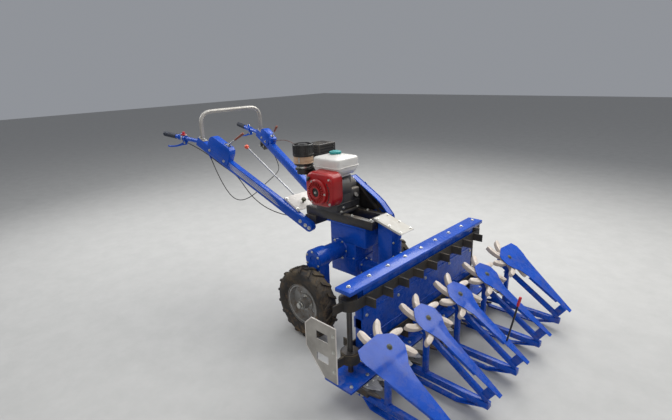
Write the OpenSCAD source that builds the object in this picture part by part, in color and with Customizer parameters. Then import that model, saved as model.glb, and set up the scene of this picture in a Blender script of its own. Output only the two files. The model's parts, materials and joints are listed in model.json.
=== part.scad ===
// Walk-behind paddy reaper: two driven wheels, a petrol engine over the axle, two handles behind
// and a five-divider cutting header in front. Millimetres, +X forward, +Y left, +Z up.
// Places are measured from the ground point under the axle, then moved to the middle of the length.

/* [Overall] */
// Distance from the axle forward to the divider tips
nose_reach = 1090; // [1060:1:1140]
// Distance from the axle back to the ends of the grips
grip_reach = 1510; // [1450:1:1560]

/* [Wheels] */
// Outside diameter of the tyres
tyre_d = 408; // [396:2:420]
// Width of a tyre
tyre_w = 100; // [92:1:108]
// Distance between the middle planes of the two wheels
track_w = 720; // [700:2:760]
// Diameter of the bead seat on the rim
bead_d = 216; // [206:1:226]
// Diameter of the axle shafts
axle_d = 32; // [26:1:38]
// Gap between each tyre and the side case beside it
tyre_gap = 12; // [8:1:20]
// Height of the tread lugs
lug_h = 11; // [8:1:16]
// Number of tread lugs on each side of a tyre
lugs = 18; // [14:1:20]
// Thickness of each side case
case_t = 68; // [56:1:76]

/* [Chassis] */
// Height of the engine deck above the ground
deck_z = 650; // [640:1:660]
// Height of the cross shaft that joins the side cases
cross_z = 435; // [425:1:445]
// Width over the two engine rails
rail_span = 180; // [170:1:190]
// Height of the engine rails
rail_h = 50; // [44:1:56]

/* [Handles] */
// Height of the handle beams at their rear end
beam_top_z = 1023; // [1000:1:1040]
// Half the distance between the beams at their rear end
beam_rear_y = 253; // [235:1:270]
// Length of the handle tubes behind the beams
tube_reach = 372; // [350:1:400]
// Width of a handle beam
beam_w = 40; // [34:1:44]
// Depth of a handle beam
beam_h = 60; // [50:1:66]
// Diameter of the handle tubes
tube_d = 28; // [24:1:30]
// Height of the hoop above the ground, to its centre line
hoop_z = 1190; // [1170:1:1210]
// Diameter of the hoop tube
hoop_d = 27; // [22:1:30]
// Outside diameter of the grips
grip_d = 36; // [33:1:40]

/* [Engine] */
// Height of the crankshaft above the engine deck
crank_h = 135; // [125:1:140]
// Width of the red fan housing
fan_w = 213; // [203:1:222]
// Height of the red fan housing
fan_h = 197; // [190:1:205]
// Length of the fuel tank
tank_l = 200; // [190:1:210]
// Width of the fuel tank
tank_w = 188; // [176:1:196]
// Height of the fuel tank
tank_h = 114; // [106:1:118]
// Diameter of the recoil starter cover
recoil_d = 144; // [132:1:152]
// Diameter of the round air cleaner
filter_d = 119; // [105:1:125]

/* [Header] */
// Distance between neighbouring dividers
row_pitch = 290; // [285:1:296]
// Number of dividers
rows = 5; // [5]
// Height of the cover bolts above the ground
bolt_z = 357; // [345:1:370]
// Distance of the cover bolts ahead of the axle
bolt_x = 735; // [725:1:745]
// Nose-down tilt of the divider covers
cover_tilt = 33; // [31:0.5:35]
// Thickness of the divider cover sheet
cover_t = 3; // [2:0.5:5]
// Radius of a star wheel over its prongs
star_r = 138; // [126:1:139]
// Thickness of a star wheel
star_t = 24; // [18:1:26]
// Top of the upright board
board_top = 540; // [530:1:560]
// Length of the belt lugs
lug_l = 55; // [40:1:58]
// Width of a conveyor belt
belt_w = 50; // [40:1:56]

/* [Cables] */
// Diameter of the two black control cables
cable_d = 6; // [5:0.5:7]
// Diameter of the throttle cable
throttle_d = 5; // [4:0.5:6]

/* [Hidden] */
$fn = 48;

// Running clearance of a shaft in its bore
run = 0.05;
// Gap left between two pieces that only lie against each other
seat = 0.2;

axle_z = tyre_d / 2;
// Distance from the axle back to the rear end of the beams
beam_rear_x = grip_reach - tube_reach;
tube_tip = [-grip_reach, 322, 1030];
tube_root = [-beam_rear_x + 20, beam_rear_y - 3, beam_top_z - 36];
tube_dir = (tube_root - tube_tip) / norm(tube_root - tube_tip);
grip_l = 130;
// The grips' end faces lean a little, so their rims reach past the ends of their axes
mid_x = (nose_reach - grip_reach - grip_d / 2 * sqrt(1 - tube_dir[0] * tube_dir[0])) / 2;
crank_x = -50;
crank_z = deck_z + crank_h;
case_out = track_w / 2 - tyre_w / 2 - tyre_gap;
case_in = case_out - case_t;
hub_half = 45;
rail_w = 40;
rail_bot = deck_z - rail_h;

// Top line of each handle beam, from its rear end to its front end
beam_rear = [-beam_rear_x, beam_rear_y, beam_top_z];
beam_front = [-170, 110.5, 548.7];
beam_dir = beam_front - beam_rear;
beam_len = norm(beam_dir);
beam_yaw = atan2(beam_dir[1], beam_dir[0]);
beam_pitch = -atan2(beam_dir[2], norm([beam_dir[0], beam_dir[1]]));
function beam_mid_y(x) = beam_rear[1] + (x - beam_rear[0]) * beam_dir[1] / beam_dir[0];
function beam_in_y(x) = beam_mid_y(x) - beam_w / 2 / cos(beam_yaw);
function beam_z(x) = beam_rear[2] + (x - beam_rear[0]) * beam_dir[2] / beam_dir[0];

// Belt loops of the header
pulley_r = 39;
belt_t = 6;
loop_x = 500;
side_y = (rows - 1) / 2 * row_pitch;
loop_half = side_y - 20;
loop_r = pulley_r + belt_t;
lower_z = 170;
upper_z = 440;
pan_z = 100;
pan_t = 12;

// Routes of the control cables, from their rear end to their front end
clutch_way = [[-1262, -276, 972], [-1230, -270, 962], [-1190, -262, 948], [-1140, -254, 931], [-1080, -245, 908],
    [-1010, -236, 876], [-940, -225, 843], [-870, -213, 811], [-810, -203, 780], [-770, -197, 745], [-735, -190, 705],
    [-700, -182, 668], [-655, -171, 632], [-605, -157, 602], [-550, -141, 580], [-490, -123, 565], [-430, -105, 558],
    [-370, -87, 558], [-320, -72, 564], [-280, -60, 572]];
link_way = [[-1030, 240, 890], [-1008, 241, 878], [-982, 241, 862], [-955, 239, 838], [-930, 235, 810], [-905, 227, 783],
    [-882, 213, 760], [-863, 192, 742], [-848, 165, 730], [-835, 130, 718], [-825, 90, 704], [-818, 45, 686],
    [-815, 0, 664], [-816, -45, 640], [-822, -85, 619], [-832, -122, 605], [-846, -155, 599], [-864, -184, 606],
    [-884, -206, 628], [-905, -222, 662], [-926, -234, 702], [-948, -242, 744], [-970, -248, 788], [-990, -251, 826],
    [-1008, -252, 858], [-1023, -252, 882]];
throttle_way = [[-925, 222, 947], [-905, 218, 951], [-880, 213, 956], [-840, 205, 963], [-790, 196, 969], [-735, 182, 972],
    [-680, 164, 972], [-625, 143, 968], [-570, 119, 960], [-515, 93, 948], [-460, 66, 932], [-410, 40, 914],
    [-365, 15, 896], [-330, -8, 882], [-305, -25, 874]];

module moved() translate([-mid_x, 0, 0]) children();
module handed(s) {
    if (s < 0) mirror([0, 1, 0]) children();
    else children();
}
module from_to(p, q) {
    d = q - p;
    translate(p) rotate([0, -atan2(d[2], norm([d[0], d[1]])), atan2(d[1], d[0])]) children();
}
module rod(p, q, d) from_to(p, q) rotate([0, 90, 0]) cylinder(h = norm(q - p), d = d);
function unit(v) = v / norm(v);
module ferrule(p, q, back, d) rod(p - back * unit(q - p), p, d);
module block(x0, x1, y0, y1, z0, z1) translate([x0, y0, z0]) cube([x1 - x0, y1 - y0, z1 - z0]);
module across(x, z, y0, y1, d) translate([x, y0, z]) rotate([-90, 0, 0]) cylinder(h = y1 - y0, d = d);
module side_plate(y0, y1, pts) translate([0, y1, 0]) rotate([90, 0, 0]) linear_extrude(y1 - y0) polygon(pts);

// Wheels
module wheel_turned(s) moved() handed(s) translate([0, track_w / 2, axle_z]) rotate([-90, 0, 0]) children();

// The tyre's outline, turned as flat faces: the bead's flats lie against the rim's round wall
tyre_sides = 48;
tyre_bead = bead_d / 2 / cos(180 / tyre_sides) + 0.02;
tyre_half = tyre_w / 2;
tread_r = tyre_d / 2 - lug_h;
tyre_outline = [[tyre_bead, -34], [tyre_bead + 10, -34], [tyre_bead + 27, 4 - tyre_half], [tyre_bead + 57, -tyre_half],
    [tread_r - 4, 7 - tyre_half], [tread_r, 20 - tyre_half], [tread_r, tyre_half - 20], [tread_r - 4, tyre_half - 7],
    [tyre_bead + 57, tyre_half], [tyre_bead + 27, tyre_half - 4], [tyre_bead + 10, 34], [tyre_bead, 34]];
// Lugs start inside the tread, and their ends stay within the tyre's outside diameter
lug_root = tread_r - 16;
lug_reach = sqrt(pow(tyre_d / 2, 2) - 32 * 32) - lug_root;
module tyre(s) color("#2a2a2c") wheel_turned(s) {
    n = len(tyre_outline);
    polyhedron([for (k = [0:tyre_sides - 1]) for (p = tyre_outline)
        [p[0] * cos(k * 360 / tyre_sides), p[0] * sin(k * 360 / tyre_sides), p[1]]],
        [for (k = [0:tyre_sides - 1]) for (i = [0:n - 1]) [k * n + i, k * n + (i + 1) % n,
            (k + 1) % tyre_sides * n + (i + 1) % n, (k + 1) % tyre_sides * n + i]], convexity = 10);
    for (k = [0:lugs - 1]) for (side = [0, 1]) rotate((k + side / 2) * 360 / lugs) mirror([0, 0, side])
        translate([lug_root, 0, 0]) rotate([0, 90, 0]) linear_extrude(lug_reach, scale = [1, 0.8], slices = 1, $fn = 4)
            polygon([[4, -12], [16 - tyre_half, 17], [5 - tyre_half, 27], [5 - tyre_half, 40], [4, 8]]);
}

module rim(s) color("#8f9499") wheel_turned(s) difference() {
    rotate_extrude($fn = 96) {
        bead = bead_d / 2;
        translate([bead - 6, -38]) square([6, 76]);
        translate([bead - 6, -38]) square([16, 4]);
        translate([bead - 6, 34]) square([16, 4]);
        translate([axle_d / 2 + run, -4]) square([bead - 6 - axle_d / 2, 8]);
        translate([axle_d / 2 + run, -hub_half]) square([14, 2 * hub_half]);
        translate([axle_d / 2 + run, 4]) square([34, 6]);
    }
    for (a = [45:90:315]) rotate(a) translate([65, 0, -10]) cylinder(h = 20, d = 14);
}

module axle(s) color("#55585c") moved() handed(s) {
    across(0, axle_z, case_in + 8, track_w / 2 + hub_half + 6, axle_d);
    across(0, axle_z, case_out + 5, track_w / 2 - hub_half, axle_d + 24);
}

// Transmission and frame
module side_case(s) color("#1f4fc4") moved() handed(s) difference() {
    union() {
        across(0, axle_z, case_in, case_out, 124);
        across(0, cross_z, case_in, case_out, 120);
        block(-55, 55, case_in, case_out, axle_z, cross_z);
    }
    across(0, axle_z, case_in + 6, case_out + 1, axle_d + 2 * run);
}

module gearbox() color("#1f4fc4") moved() {
    block(-75, 120, -80, 80, 285, cross_z + 60);
    block(-75, 195, -80, 80, cross_z + 40, rail_bot - 10);
    block(-90, 205, -rail_span / 2, rail_span / 2, rail_bot - 10, rail_bot);
    across(0, cross_z, -case_in, case_in, 100);
}

module chassis_frame() color("#1b1c20") moved() {
    for (s = [-1, 1]) handed(s) block(-265, 250, rail_span / 2 - rail_w, rail_span / 2, rail_bot, deck_z);
    for (x = [-265, 200]) block(x, x + 50, -rail_span / 2 + rail_w - 1, rail_span / 2 - rail_w + 1, rail_bot, deck_z);
    x0 = -262;
    x1 = -182;
    translate([0, 0, rail_bot - 55]) linear_extrude(55)
        polygon([[x0, -beam_in_y(x0)], [x1, -beam_in_y(x1)], [x1, beam_in_y(x1)], [x0, beam_in_y(x0)]]);
    n = len(clutch_way);
    ferrule(clutch_way[n - 1], clutch_way[n - 2], 30, cable_d + 4);
}

// Handles and controls
module on_beam(s) moved() handed(s) translate(beam_rear) rotate([0, beam_pitch, beam_yaw]) children();

module handle(s) color("#1f4fc4") {
    on_beam(s) {
        translate([0, -beam_w / 2, -beam_h]) cube([beam_len - beam_h / 2, beam_w, beam_h]);
        across(beam_len - beam_h / 2, -beam_h / 2, -beam_w / 2, beam_w / 2, beam_h);
    }
    moved() handed(s) from_to(tube_tip, tube_root) rotate([0, 90, 0]) translate([0, 0, 5])
        cylinder(h = norm(tube_root - tube_tip) - 5, d = tube_d);
    n = len(link_way);
    if (s < 0) moved() ferrule(link_way[n - 1], link_way[n - 2], 50, cable_d + 4);
}

module grip(s) color("#17202e") moved() handed(s) from_to(tube_tip, tube_root) rotate([0, 90, 0]) difference() {
    cylinder(h = grip_l, d = grip_d);
    translate([0, 0, 5]) cylinder(h = grip_l, d = tube_d + 2 * run);
}

hoop_bend = 90;
module hoop() color("#8e9194") {
    moved() difference() {
        union() {
            for (s = [-1, 1]) handed(s) {
                translate([-beam_rear_x + 30, beam_rear_y - 5, beam_top_z - 40])
                    cylinder(h = hoop_z - hoop_bend - beam_top_z + 40, d = hoop_d);
                translate([-beam_rear_x + 30, beam_rear_y - 5 - hoop_bend, hoop_z - hoop_bend]) rotate([90, 0, 90])
                    rotate_extrude(angle = 90) translate([hoop_bend, 0]) circle(d = hoop_d);
            }
            across(-beam_rear_x + 30, hoop_z, -(beam_rear_y - 5 - hoop_bend), beam_rear_y - 5 - hoop_bend, hoop_d);
        }
        for (s = [-1, 1]) translate([mid_x, 0, 0]) on_beam(s) translate([-80, -60, -150]) cube([300, 120, 150]);
    }
}

long_box = [112, 325, 85];
short_box = [66, 190, 58];
boss_l = 33;
boss_top = 46;
module lever_box(s) color("#1f4fc4") {
    box = s < 0 ? long_box : short_box;
    top = box[2];
    on_beam(s) {
        difference() {
            side_plate(-beam_w / 2 - 6, beam_w / 2 + 6, [[box[0], -50], [box[0], top - 50], [box[0] + 12, top - 18],
                [box[0] + 40, top], [box[1] - 25, top], [box[1], top - 35], [box[1], -25], [box[1] - 25, -50]]);
            translate([0, -beam_w / 2, -beam_h - 10]) cube([beam_len, beam_w, beam_h + 10]);
        }
        if (s > 0) block(box[1] - 5, box[1] + boss_l, -24, 24, seat, boss_top);
    }
    if (s > 0) moved() ferrule(throttle_way[0], throttle_way[1], 16, throttle_d + 4);
}

// Lever feet and tips on the two boxes, in the beams' own frames, then the length of each grip
right_lever = [[268, 0, long_box[2] + seat], [372, 0, 232], 97];
left_lever = [[192, 0, boss_top + seat], [229, 0, 155], 60];
module lever_rods() color("#8d9196") {
    for (v = [[-1, right_lever], [1, left_lever]]) on_beam(v[0]) {
        lever = v[1];
        way = unit(lever[1] - lever[0]);
        translate(lever[0]) cylinder(h = 8, d = 22);
        rod(lever[0] + 5 * way, lever[1] - lever[2] * way, 9);
    }
}
module lever_knobs() color("#7c2f1c") for (v = [[-1, right_lever], [1, left_lever]]) on_beam(v[0])
    from_to(v[1][1], v[1][0]) rotate([0, 90, 0]) rotate_extrude() {
        l = v[1][2];
        polygon([[0, 0], [6, 0], [9, 4], [9, 16], [6.5, l - 4], [5.5, l], [0, l]]);
    }

perch = 205;
module hand_levers() color("#1f4fc4") for (s = [-1, 1]) {
    moved() handed(s) from_to(tube_tip, tube_root) difference() {
        union() {
            rotate([0, 90, 0]) translate([0, 0, perch - 45]) cylinder(h = 75, d = tube_d + 12);
            block(perch, perch + 38, -9, 9, -42, 0);
            side_plate(-5, 5, [[perch + 30, -22], [perch + 26, -46], [perch - 70, -76], [perch - 150, -92],
                [perch - 172, -92], [perch - 176, -84], [perch - 150, -80], [perch - 72, -62], [perch, -30]]);
        }
        rotate([0, 90, 0]) translate([0, 0, perch - 60]) cylinder(h = 120, d = tube_d + 2 * run);
    }
    if (s < 0) moved() ferrule(clutch_way[0], clutch_way[1], 22, cable_d + 4);
}

module pivot_block() color("#17181b") {
    on_beam(1) {
        block(72, 142, -17, 17, -102, -beam_h - seat);
        across(96, -84, -30, 30, 26);
    }
    moved() ferrule(link_way[0], link_way[1], 24, cable_d + 4);
}

module plate_knob() color("#3b3d2c") moved() translate([-344, -44, beam_z(-344) + plate_rise + plate_t])
    rotate([0, atan2(-beam_dir[2], beam_dir[0]), 0]) {
    translate([0, 0, seat]) cylinder(h = 20, d = 12);
    translate([0, 0, 14]) cylinder(h = 16, d = 28);
}

module stop_switch() color("#c8202a") moved() handed(-1) from_to(tube_tip, tube_root)
    translate([perch + 3, 0, tube_d / 2 + 6 + seat]) {
        translate([-12, -12, 0]) cube([30, 24, 9]);
        cylinder(h = 24, d = 17);
    }

plate_rise = 10;
plate_t = 3;
module gear_plate() color("#d9d6cd") moved() {
    x0 = -420;
    x1 = -293;
    rise = plate_rise;
    sheet = plate_t;
    side_plate(-130, 130, [[x0, beam_z(x0) + rise], [x1, beam_z(x1) + rise], [x1, beam_z(x1) + rise + sheet],
        [x0, beam_z(x0) + rise + sheet]]);
    for (s = [-1, 1]) handed(s) side_plate(118, 130, [[x0, beam_z(x0) + seat], [x1, beam_z(x1) + seat],
        [x1, beam_z(x1) + rise + 1], [x0, beam_z(x0) + rise + 1]]);
}

ball = [-911, -33, 943];
lever_root = [-240, -38, 571];
module gear_lever() color("#9ba0a6") moved() difference() {
    from_to(ball, lever_root) rotate([0, 90, 0]) rotate_extrude() {
        intersection() {
            circle(d = 30);
            translate([0, -15]) square([15, 30]);
        }
        square([5.5, norm(lever_root - ball)]);
    }
    block(-262 - seat, -200, -60, 0, 500, 640);
}

// Engine: the crankcase, then the leaning cylinder with its fins, head and rocker cover
case_y0 = -118;
case_y1 = 85;
lean = 25;
fin_pitch = 9;
module leaning() translate([crank_x, 0, crank_z]) rotate([0, lean, 0]) children();
module engine_block() color("#3a3b3f") moved() {
    x0 = crank_x - 100;
    x1 = crank_x + 70;
    block(x0 - 12, x1 + 12, case_y0 + 20, case_y1 - 12, deck_z, deck_z + 14);
    block(x0, x1, case_y0, case_y1, deck_z + 13, crank_z - 5);
    across(crank_x, crank_z, case_y0 + 8, 10, 150);
    across(crank_x, crank_z, 0, case_y1, 92);
    leaning() {
        block(-130, -40, -38, 60, -50, 28);
        for (k = [0:7]) block(-72 - k * fin_pitch - 4, -72 - k * fin_pitch, -48, 72, -58, 27);
        block(-178, -141, -50, 70, -56, 30);
        block(-142, -128, -38, 60, -50, 28);
        block(-205, -177, -32, 56, -48, 22);
    }
    for (x = [tank_x + 30, tank_x + tank_l - 50]) block(x, x + 6, -70, 40, crank_z - 15, tank_z - 11);
    n = len(throttle_way);
    block(-300, -225, -32, -24, 862, 882);
    ferrule(throttle_way[n - 1], throttle_way[n - 2], 20, throttle_d + 4);
}

fan_x = crank_x - 93;
// The starter's cover stands a little ahead of and above the crank's axis
starter_x = crank_x + 12;
starter_z = crank_z + 12;
fan_z = deck_z + 58;
louvre_r = 90;
module fan_housing() color("#b3131b") moved() {
    x1 = fan_x + fan_w;
    z1 = fan_z + fan_h;
    y = case_y0 - seat - 82;
    difference() {
        side_plate(y, case_y0 - seat, [[fan_x + 52, fan_z], [x1 - 45, fan_z + 3], [x1 - 12, fan_z + 24], [x1, fan_z + 50],
            [x1, z1 - 34], [x1 - 10, z1 - 10], [x1 - 32, z1], [fan_x + 42, z1], [fan_x + 12, z1 - 18], [fan_x, z1 - 48],
            [fan_x, fan_z + 52], [fan_x + 16, fan_z + 20]]);
        for (a = [-36:12:36]) translate([starter_x, y - 1, starter_z]) rotate([0, a, 0]) block(louvre_r - 10, louvre_r - 2, 0, 7, -7, 7);
    }
}

module recoil_cover() color("#a51018") moved() translate([starter_x, case_y0 - 82 - 2 * seat, starter_z]) rotate([90, 0, 0])
    difference() {
        rotate_extrude($fn = 72) polygon([[0, 0], [recoil_d / 2, 0], [recoil_d / 2, 10], [recoil_d / 2 - 6, 16],
            [recoil_d / 2 - 16, 20], [33, 24], [27, 24], [25, 20], [0, 20]]);
        for (a = [0:15:345]) rotate(a) translate([36, -2.25, 12]) cube([22, 4.5, 20]);
    }

tank_x = -165;
tank_y = case_y0;
tank_z = deck_z + 216;
module tank_form(grow, low, high) {
    x0 = tank_x - grow;
    y0 = tank_y - grow;
    x1 = tank_x + tank_l + grow;
    y1 = tank_y + tank_w + grow;
    z1 = tank_z + tank_h;
    intersection() {
        side_plate(y0, y1, [[x0 + 18, low], [x1 - 18, low], [x1, low + 30], [x1, high - 21], [x1 - 5, high - 15],
            [x1 - 45, high - 4], [(x0 + x1) / 2, high], [x0 + 45, high - 3], [x0 + 5, high - 11], [x0, high - 17],
            [x0, low + 30]]);
        translate([x0, 0, 0]) rotate([90, 0, 90]) linear_extrude(x1 - x0)
            polygon([[y0 + 18, low], [y1 - 18, low], [y1, low + 30], [y1, high - 22], [y1 - 5, high - 15], [y1 - 40, high - 3],
                [(y0 + y1) / 2, high], [y0 + 40, high - 3], [y0 + 5, high - 15], [y0, high - 22], [y0, low + 30]]);
    }
}
module fuel_tank() color("#ebe8e0") moved() {
    tank_form(0, tank_z, tank_z + tank_h);
    seam = tank_z + 45;
    block(tank_x - 4, tank_x + tank_l + 4, tank_y - 4, tank_y + tank_w + 4, seam, seam + 6);
    for (x = [tank_x + 30, tank_x + tank_l - 50]) block(x, x + 16, tank_y + 48, tank_y + tank_w - 50, tank_z - 11 + seat, tank_z + 1);
}

module tank_cap() color("#2aa39a") moved() translate([-68, -22, tank_z + tank_h]) {
    cylinder(h = 13, d = 66);
    for (a = [0:30:330]) rotate(a) translate([31, -5.5, 0]) cube([4, 11, 12]);
    cylinder(h = 16, d = 44);
}

clean_x = -260;
clean_y = -95;
clean_z = deck_z + 202;
clean_h = 67;
module air_cleaner_base() color("#202022") moved() translate([clean_x, clean_y, clean_z]) {
    cylinder(h = clean_h, d = 84);
    translate([0, 0, 26]) cylinder(h = 8, d = 104);
    translate([0, 0, clean_h - 12]) cylinder(h = 12, d = 110);
    block(-22, 72, 20, -clean_y - 50 - seat, 8, 40);
}
module air_cleaner_bowl() color("#cfc4ae") moved() translate([clean_x, clean_y, clean_z + clean_h]) {
    cylinder(h = 39, d = filter_d - 3);
    cylinder(h = 5, d = filter_d + 1);
}
module air_cleaner_cap() color("#151517") moved() translate([clean_x, clean_y, clean_z + clean_h + 39]) difference() {
    union() {
        cylinder(h = 72, d = filter_d);
        translate([0, 0, 8]) cylinder(h = 7, d = filter_d + 5);
        translate([0, 0, 62]) cylinder(h = 6, d = filter_d + 4);
    }
    translate([0, 0, 58]) difference() {
        cylinder(h = 20, d = filter_d - 14);
        translate([0, 0, -1]) cylinder(h = 22, d = 56);
    }
}

muffler_z = deck_z + 258;
module muffler() color("#17171a") moved() {
    difference() {
        block(-360, -240, 14, 160, muffler_z, muffler_z + 100);
        for (x = [-346:16:-266]) block(x, x + 8, 28, 146, muffler_z + 96, muffler_z + 101);
        for (z = [18:16:82]) block(-361, -356, 28, 146, muffler_z + z - 3, muffler_z + z + 5);
        for (z = [18:16:82]) block(-346, -254, 13, 18, muffler_z + z - 3, muffler_z + z + 5);
    }
    block(-285, -250, 70 + seat, 105, muffler_z - 68, muffler_z + 1);
    block(-285, -185, 70 + seat, 100, muffler_z - 68, muffler_z - 33);
}

// Engine-to-gearbox belt
drive_x = 130;
drive_z = 545;
drive_r = 78;
motor_r = 22;
vee_w = 17;
vee_y = 100;
function arc(c, r, a0, a1, n) = [for (i = [0:n]) c + r * [cos(a0 + (a1 - a0) * i / n), sin(a0 + (a1 - a0) * i / n)]];
function loop(c0, r0, c1, r1) = let(d = c1 - c0, base = atan2(d[1], d[0]), open = acos((r0 - r1) / norm(d)))
    concat(arc(c0, r0, base + open, base + 360 - open, 16), arc(c1, r1, base - open, base + open, 16));
motor_c = [crank_x, crank_z];
drive_c = [drive_x, drive_z];

module drive_pulleys() color("#6b6f74") moved() {
    // Centre, groove radius and the face that the shaft comes out of
    for (p = [[motor_c, motor_r, case_y1 + seat], [drive_c, drive_r, 80]]) {
        c = p[0];
        across(c[0], c[1], p[2], vee_y + vee_w + 12, 25);
        across(c[0], c[1], vee_y - 4, vee_y, 2 * p[1] + 18);
        across(c[0], c[1], vee_y, vee_y + vee_w, 2 * p[1]);
        across(c[0], c[1], vee_y + vee_w, vee_y + vee_w + 4, 2 * p[1] + 18);
    }
}

module drive_belt() color("#141414") moved() translate([0, vee_y + vee_w - seat, 0]) rotate([90, 0, 0])
    linear_extrude(vee_w - 2 * seat) difference() {
        polygon(loop(motor_c, motor_r + 9, drive_c, drive_r + 9));
        polygon(loop(motor_c, motor_r + seat + 0.4, drive_c, drive_r + seat + 0.6));
    }

module belt_guard() color("#1c48b8") moved() {
    y0 = rail_span / 2 + 2;
    y1 = y0 + 45;
    pts = [[-138, 762], [-112, 808], [-52, 828], [123, 727], [165, 698], [228, 635], [236, 605], [236, 505], [165, 445],
        [90, 450], [-132, 700]];
    difference() {
        side_plate(y0, y1, pts);
        side_plate(y0 - 1, y1 - 3, [for (p = pts) p + 4 * ([30, 640] - p) / norm([30, 640] - p)]);
        side_plate(y1 - 5, y1 + 1, [[60, 520], [150, 470], [205, 520], [205, 590], [130, 640], [70, 610]]);
    }
    for (z = [505, 535, 565, 595]) block(62, 203, y1 - 3, y1, z, z + 8);
    block(60, 100, 80 + seat, y1 - 2, 445, 452);
}

// Header
module header_frame() color("#1c48b8") moved() {
    half = side_y - 80;
    block(470, 530, -half, half, 300, 360);
    for (y = [-half, -20, half - 40]) block(480, 520, y, y + 40, pan_z + pan_t, board_top - 20);
    block(455, 545, -half - 100, half + 100, board_top - 20, board_top);
    block(440, 600, -side_y - 90, side_y + 20, pan_z, pan_z + pan_t);
}

module header_board() color("#1c48b8") moved()
    block(530, 533, 80 - side_y, side_y - 80, pan_z + pan_t, board_top - 20);

module stadium(r) {
    translate([loop_x - r, -loop_half]) square([2 * r, 2 * loop_half]);
    for (s = [-1, 1]) translate([loop_x, s * loop_half]) circle(r, $fn = 64);
}

module end_rollers() color("#6b6f74") moved() for (s = [-1, 1]) translate([loop_x, s * loop_half, 0]) {
    translate([0, 0, pan_z + pan_t]) cylinder(h = board_top - 20 - pan_z - pan_t, d = 25);
    for (z = [lower_z, upper_z]) translate([0, 0, z - 3]) cylinder(h = belt_w + 6, r = pulley_r - seat, $fn = 64);
}

lug_pitch = 124;
module conveyor(z) color("#23262b") moved() translate([0, 0, z]) {
    linear_extrude(belt_w) difference() {
        stadium(loop_r);
        stadium(pulley_r);
    }
    n = floor(loop_half / lug_pitch);
    lug = [[-4, -6], [-4, 6], [lug_l - 12, 4], [lug_l, 1.5], [lug_l, -1.5], [lug_l - 12, -4]];
    for (i = [-n:n]) for (s = [0, 180])
        translate([loop_x, i * lug_pitch, 4]) rotate(s) translate([loop_r, 0, 0]) linear_extrude(belt_w - 8) polygon(lug);
    for (s = [-1, 1]) translate([loop_x, s * loop_half, 4]) rotate(s * 90) translate([loop_r, 0, 0])
        linear_extrude(belt_w - 8) polygon(lug);
}

module header_drive() color("#1f4fc4") moved() {
    translate([120, 0, 330]) rotate([0, 90, 0]) cylinder(h = 350, d = 84);
    side_plate(-45, 45, [[252, 330], [350, 330], [350, 628], [252, 656]]);
}

module drive_cover() color("#e6e6e2") moved()
    side_plate(-57, 57, [[235, 661], [420, 608], [420, 611], [235, 664]]);

module end_plate() color("#b9bdc0") moved() {
    difference() {
        side_plate(-side_y - 90, -side_y - 87, [[440, pan_z + pan_t + seat], [330, 235], [330, 350], [372, 392], [520, 392],
            [520, pan_z + pan_t + seat]]);
        for (z = [190, 300]) block(400, 470, -side_y - 91, -side_y - 86, z, z + 40);
    }
}

finger_pitch = 75;
module cutter_bar() color("#4a4d52") moved() {
    half = side_y + 30;
    n = floor(half / finger_pitch);
    block(560, 640, -half, half, 70, pan_z - seat);
    block(604, 640, -half, half, pan_z - 1, 106);
    for (i = [-n:n]) translate([640, i * finger_pitch, 96]) linear_extrude(10)
        polygon([[-2, -14], [30, -10], [66, -3], [66, 3], [30, 10], [-2, 14]]);
}

module knife() color("#a9adb2") moved() translate([0, 0, 106.3]) {
    half = side_y + 20;
    n = floor(half / finger_pitch);
    block(606, 626, -half, half, 0, 4);
    for (i = [-n:n - 1]) translate([626, (i + 0.5) * finger_pitch, 0]) linear_extrude(3)
        polygon([[-2, -36], [4, -36], [58, -8], [58, 8], [4, 36], [-2, 36]]);
}

// Dividers: local +X runs down the cover towards the tip, local +Z is square to the cover
module at_row(i) moved() translate([bolt_x, (i - 3) * row_pitch, bolt_z]) rotate([0, cover_tilt, 0]) children();
cover_reach = (nose_reach - bolt_x) / cos(cover_tilt);
bar_z = -34 - star_t / 2 - star_t / 2;
// How far below the cover's top a star wheel's upper side lies
star_top = cover_t + 5.5;
star_phase = 11;

// Outer cover, with its wide side towards -Y, then the inner cover
outer_cover = [[-70, -8], [-38, 60], [-18, 75], [28, 75], [63, 52], [95, 22], [150, 8], [cover_reach, -4],
    [cover_reach, -30], [300, -62], [82, -123], [6, -148], [-25, -154], [-60, -136]];
inner_half = [[-70, 30], [-38, 62], [-18, 75], [28, 75], [63, 52], [110, 34], [300, 22], [cover_reach, 12]];
inner_cover = concat(inner_half, [for (k = [len(inner_half) - 1:-1:0]) [inner_half[k][0], -inner_half[k][1]]]);

edge_h = 14;
// An inner cover's turned edges start clear of the star wheel's prongs
edge_from = star_r + 12;
module turned_edge(p, q) from_to([p[0], p[1], 0], [q[0], q[1], 0]) translate([4, -cover_t - 0.5, -edge_h])
    cube([norm(q - p) - 8, cover_t, edge_h - 1]);
module divider_covers() color("#1f5ae0") for (i = [1:rows]) at_row(i) difference() {
    union() {
        translate([0, 0, -cover_t]) linear_extrude(cover_t) {
            if (i == 1) polygon(outer_cover);
            else if (i == rows) mirror([0, 1]) polygon(outer_cover);
            else polygon(inner_cover);
        }
        // The nose's two long edges are turned down
        if (i > 1 && i < rows) for (s = [0, 1]) mirror([0, s, 0]) turned_edge([edge_from, 34 - (edge_from - 110) * 12 / 190], [300, 22]);
        else mirror([0, i == rows ? 1 : 0, 0]) {
            turned_edge([300, -62], [82, -123]);
            turned_edge([150, 8], [345, -0.8]);
        }
    }
    translate([0, 0, -10]) cylinder(h = 20, d = 10.4);
}

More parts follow.
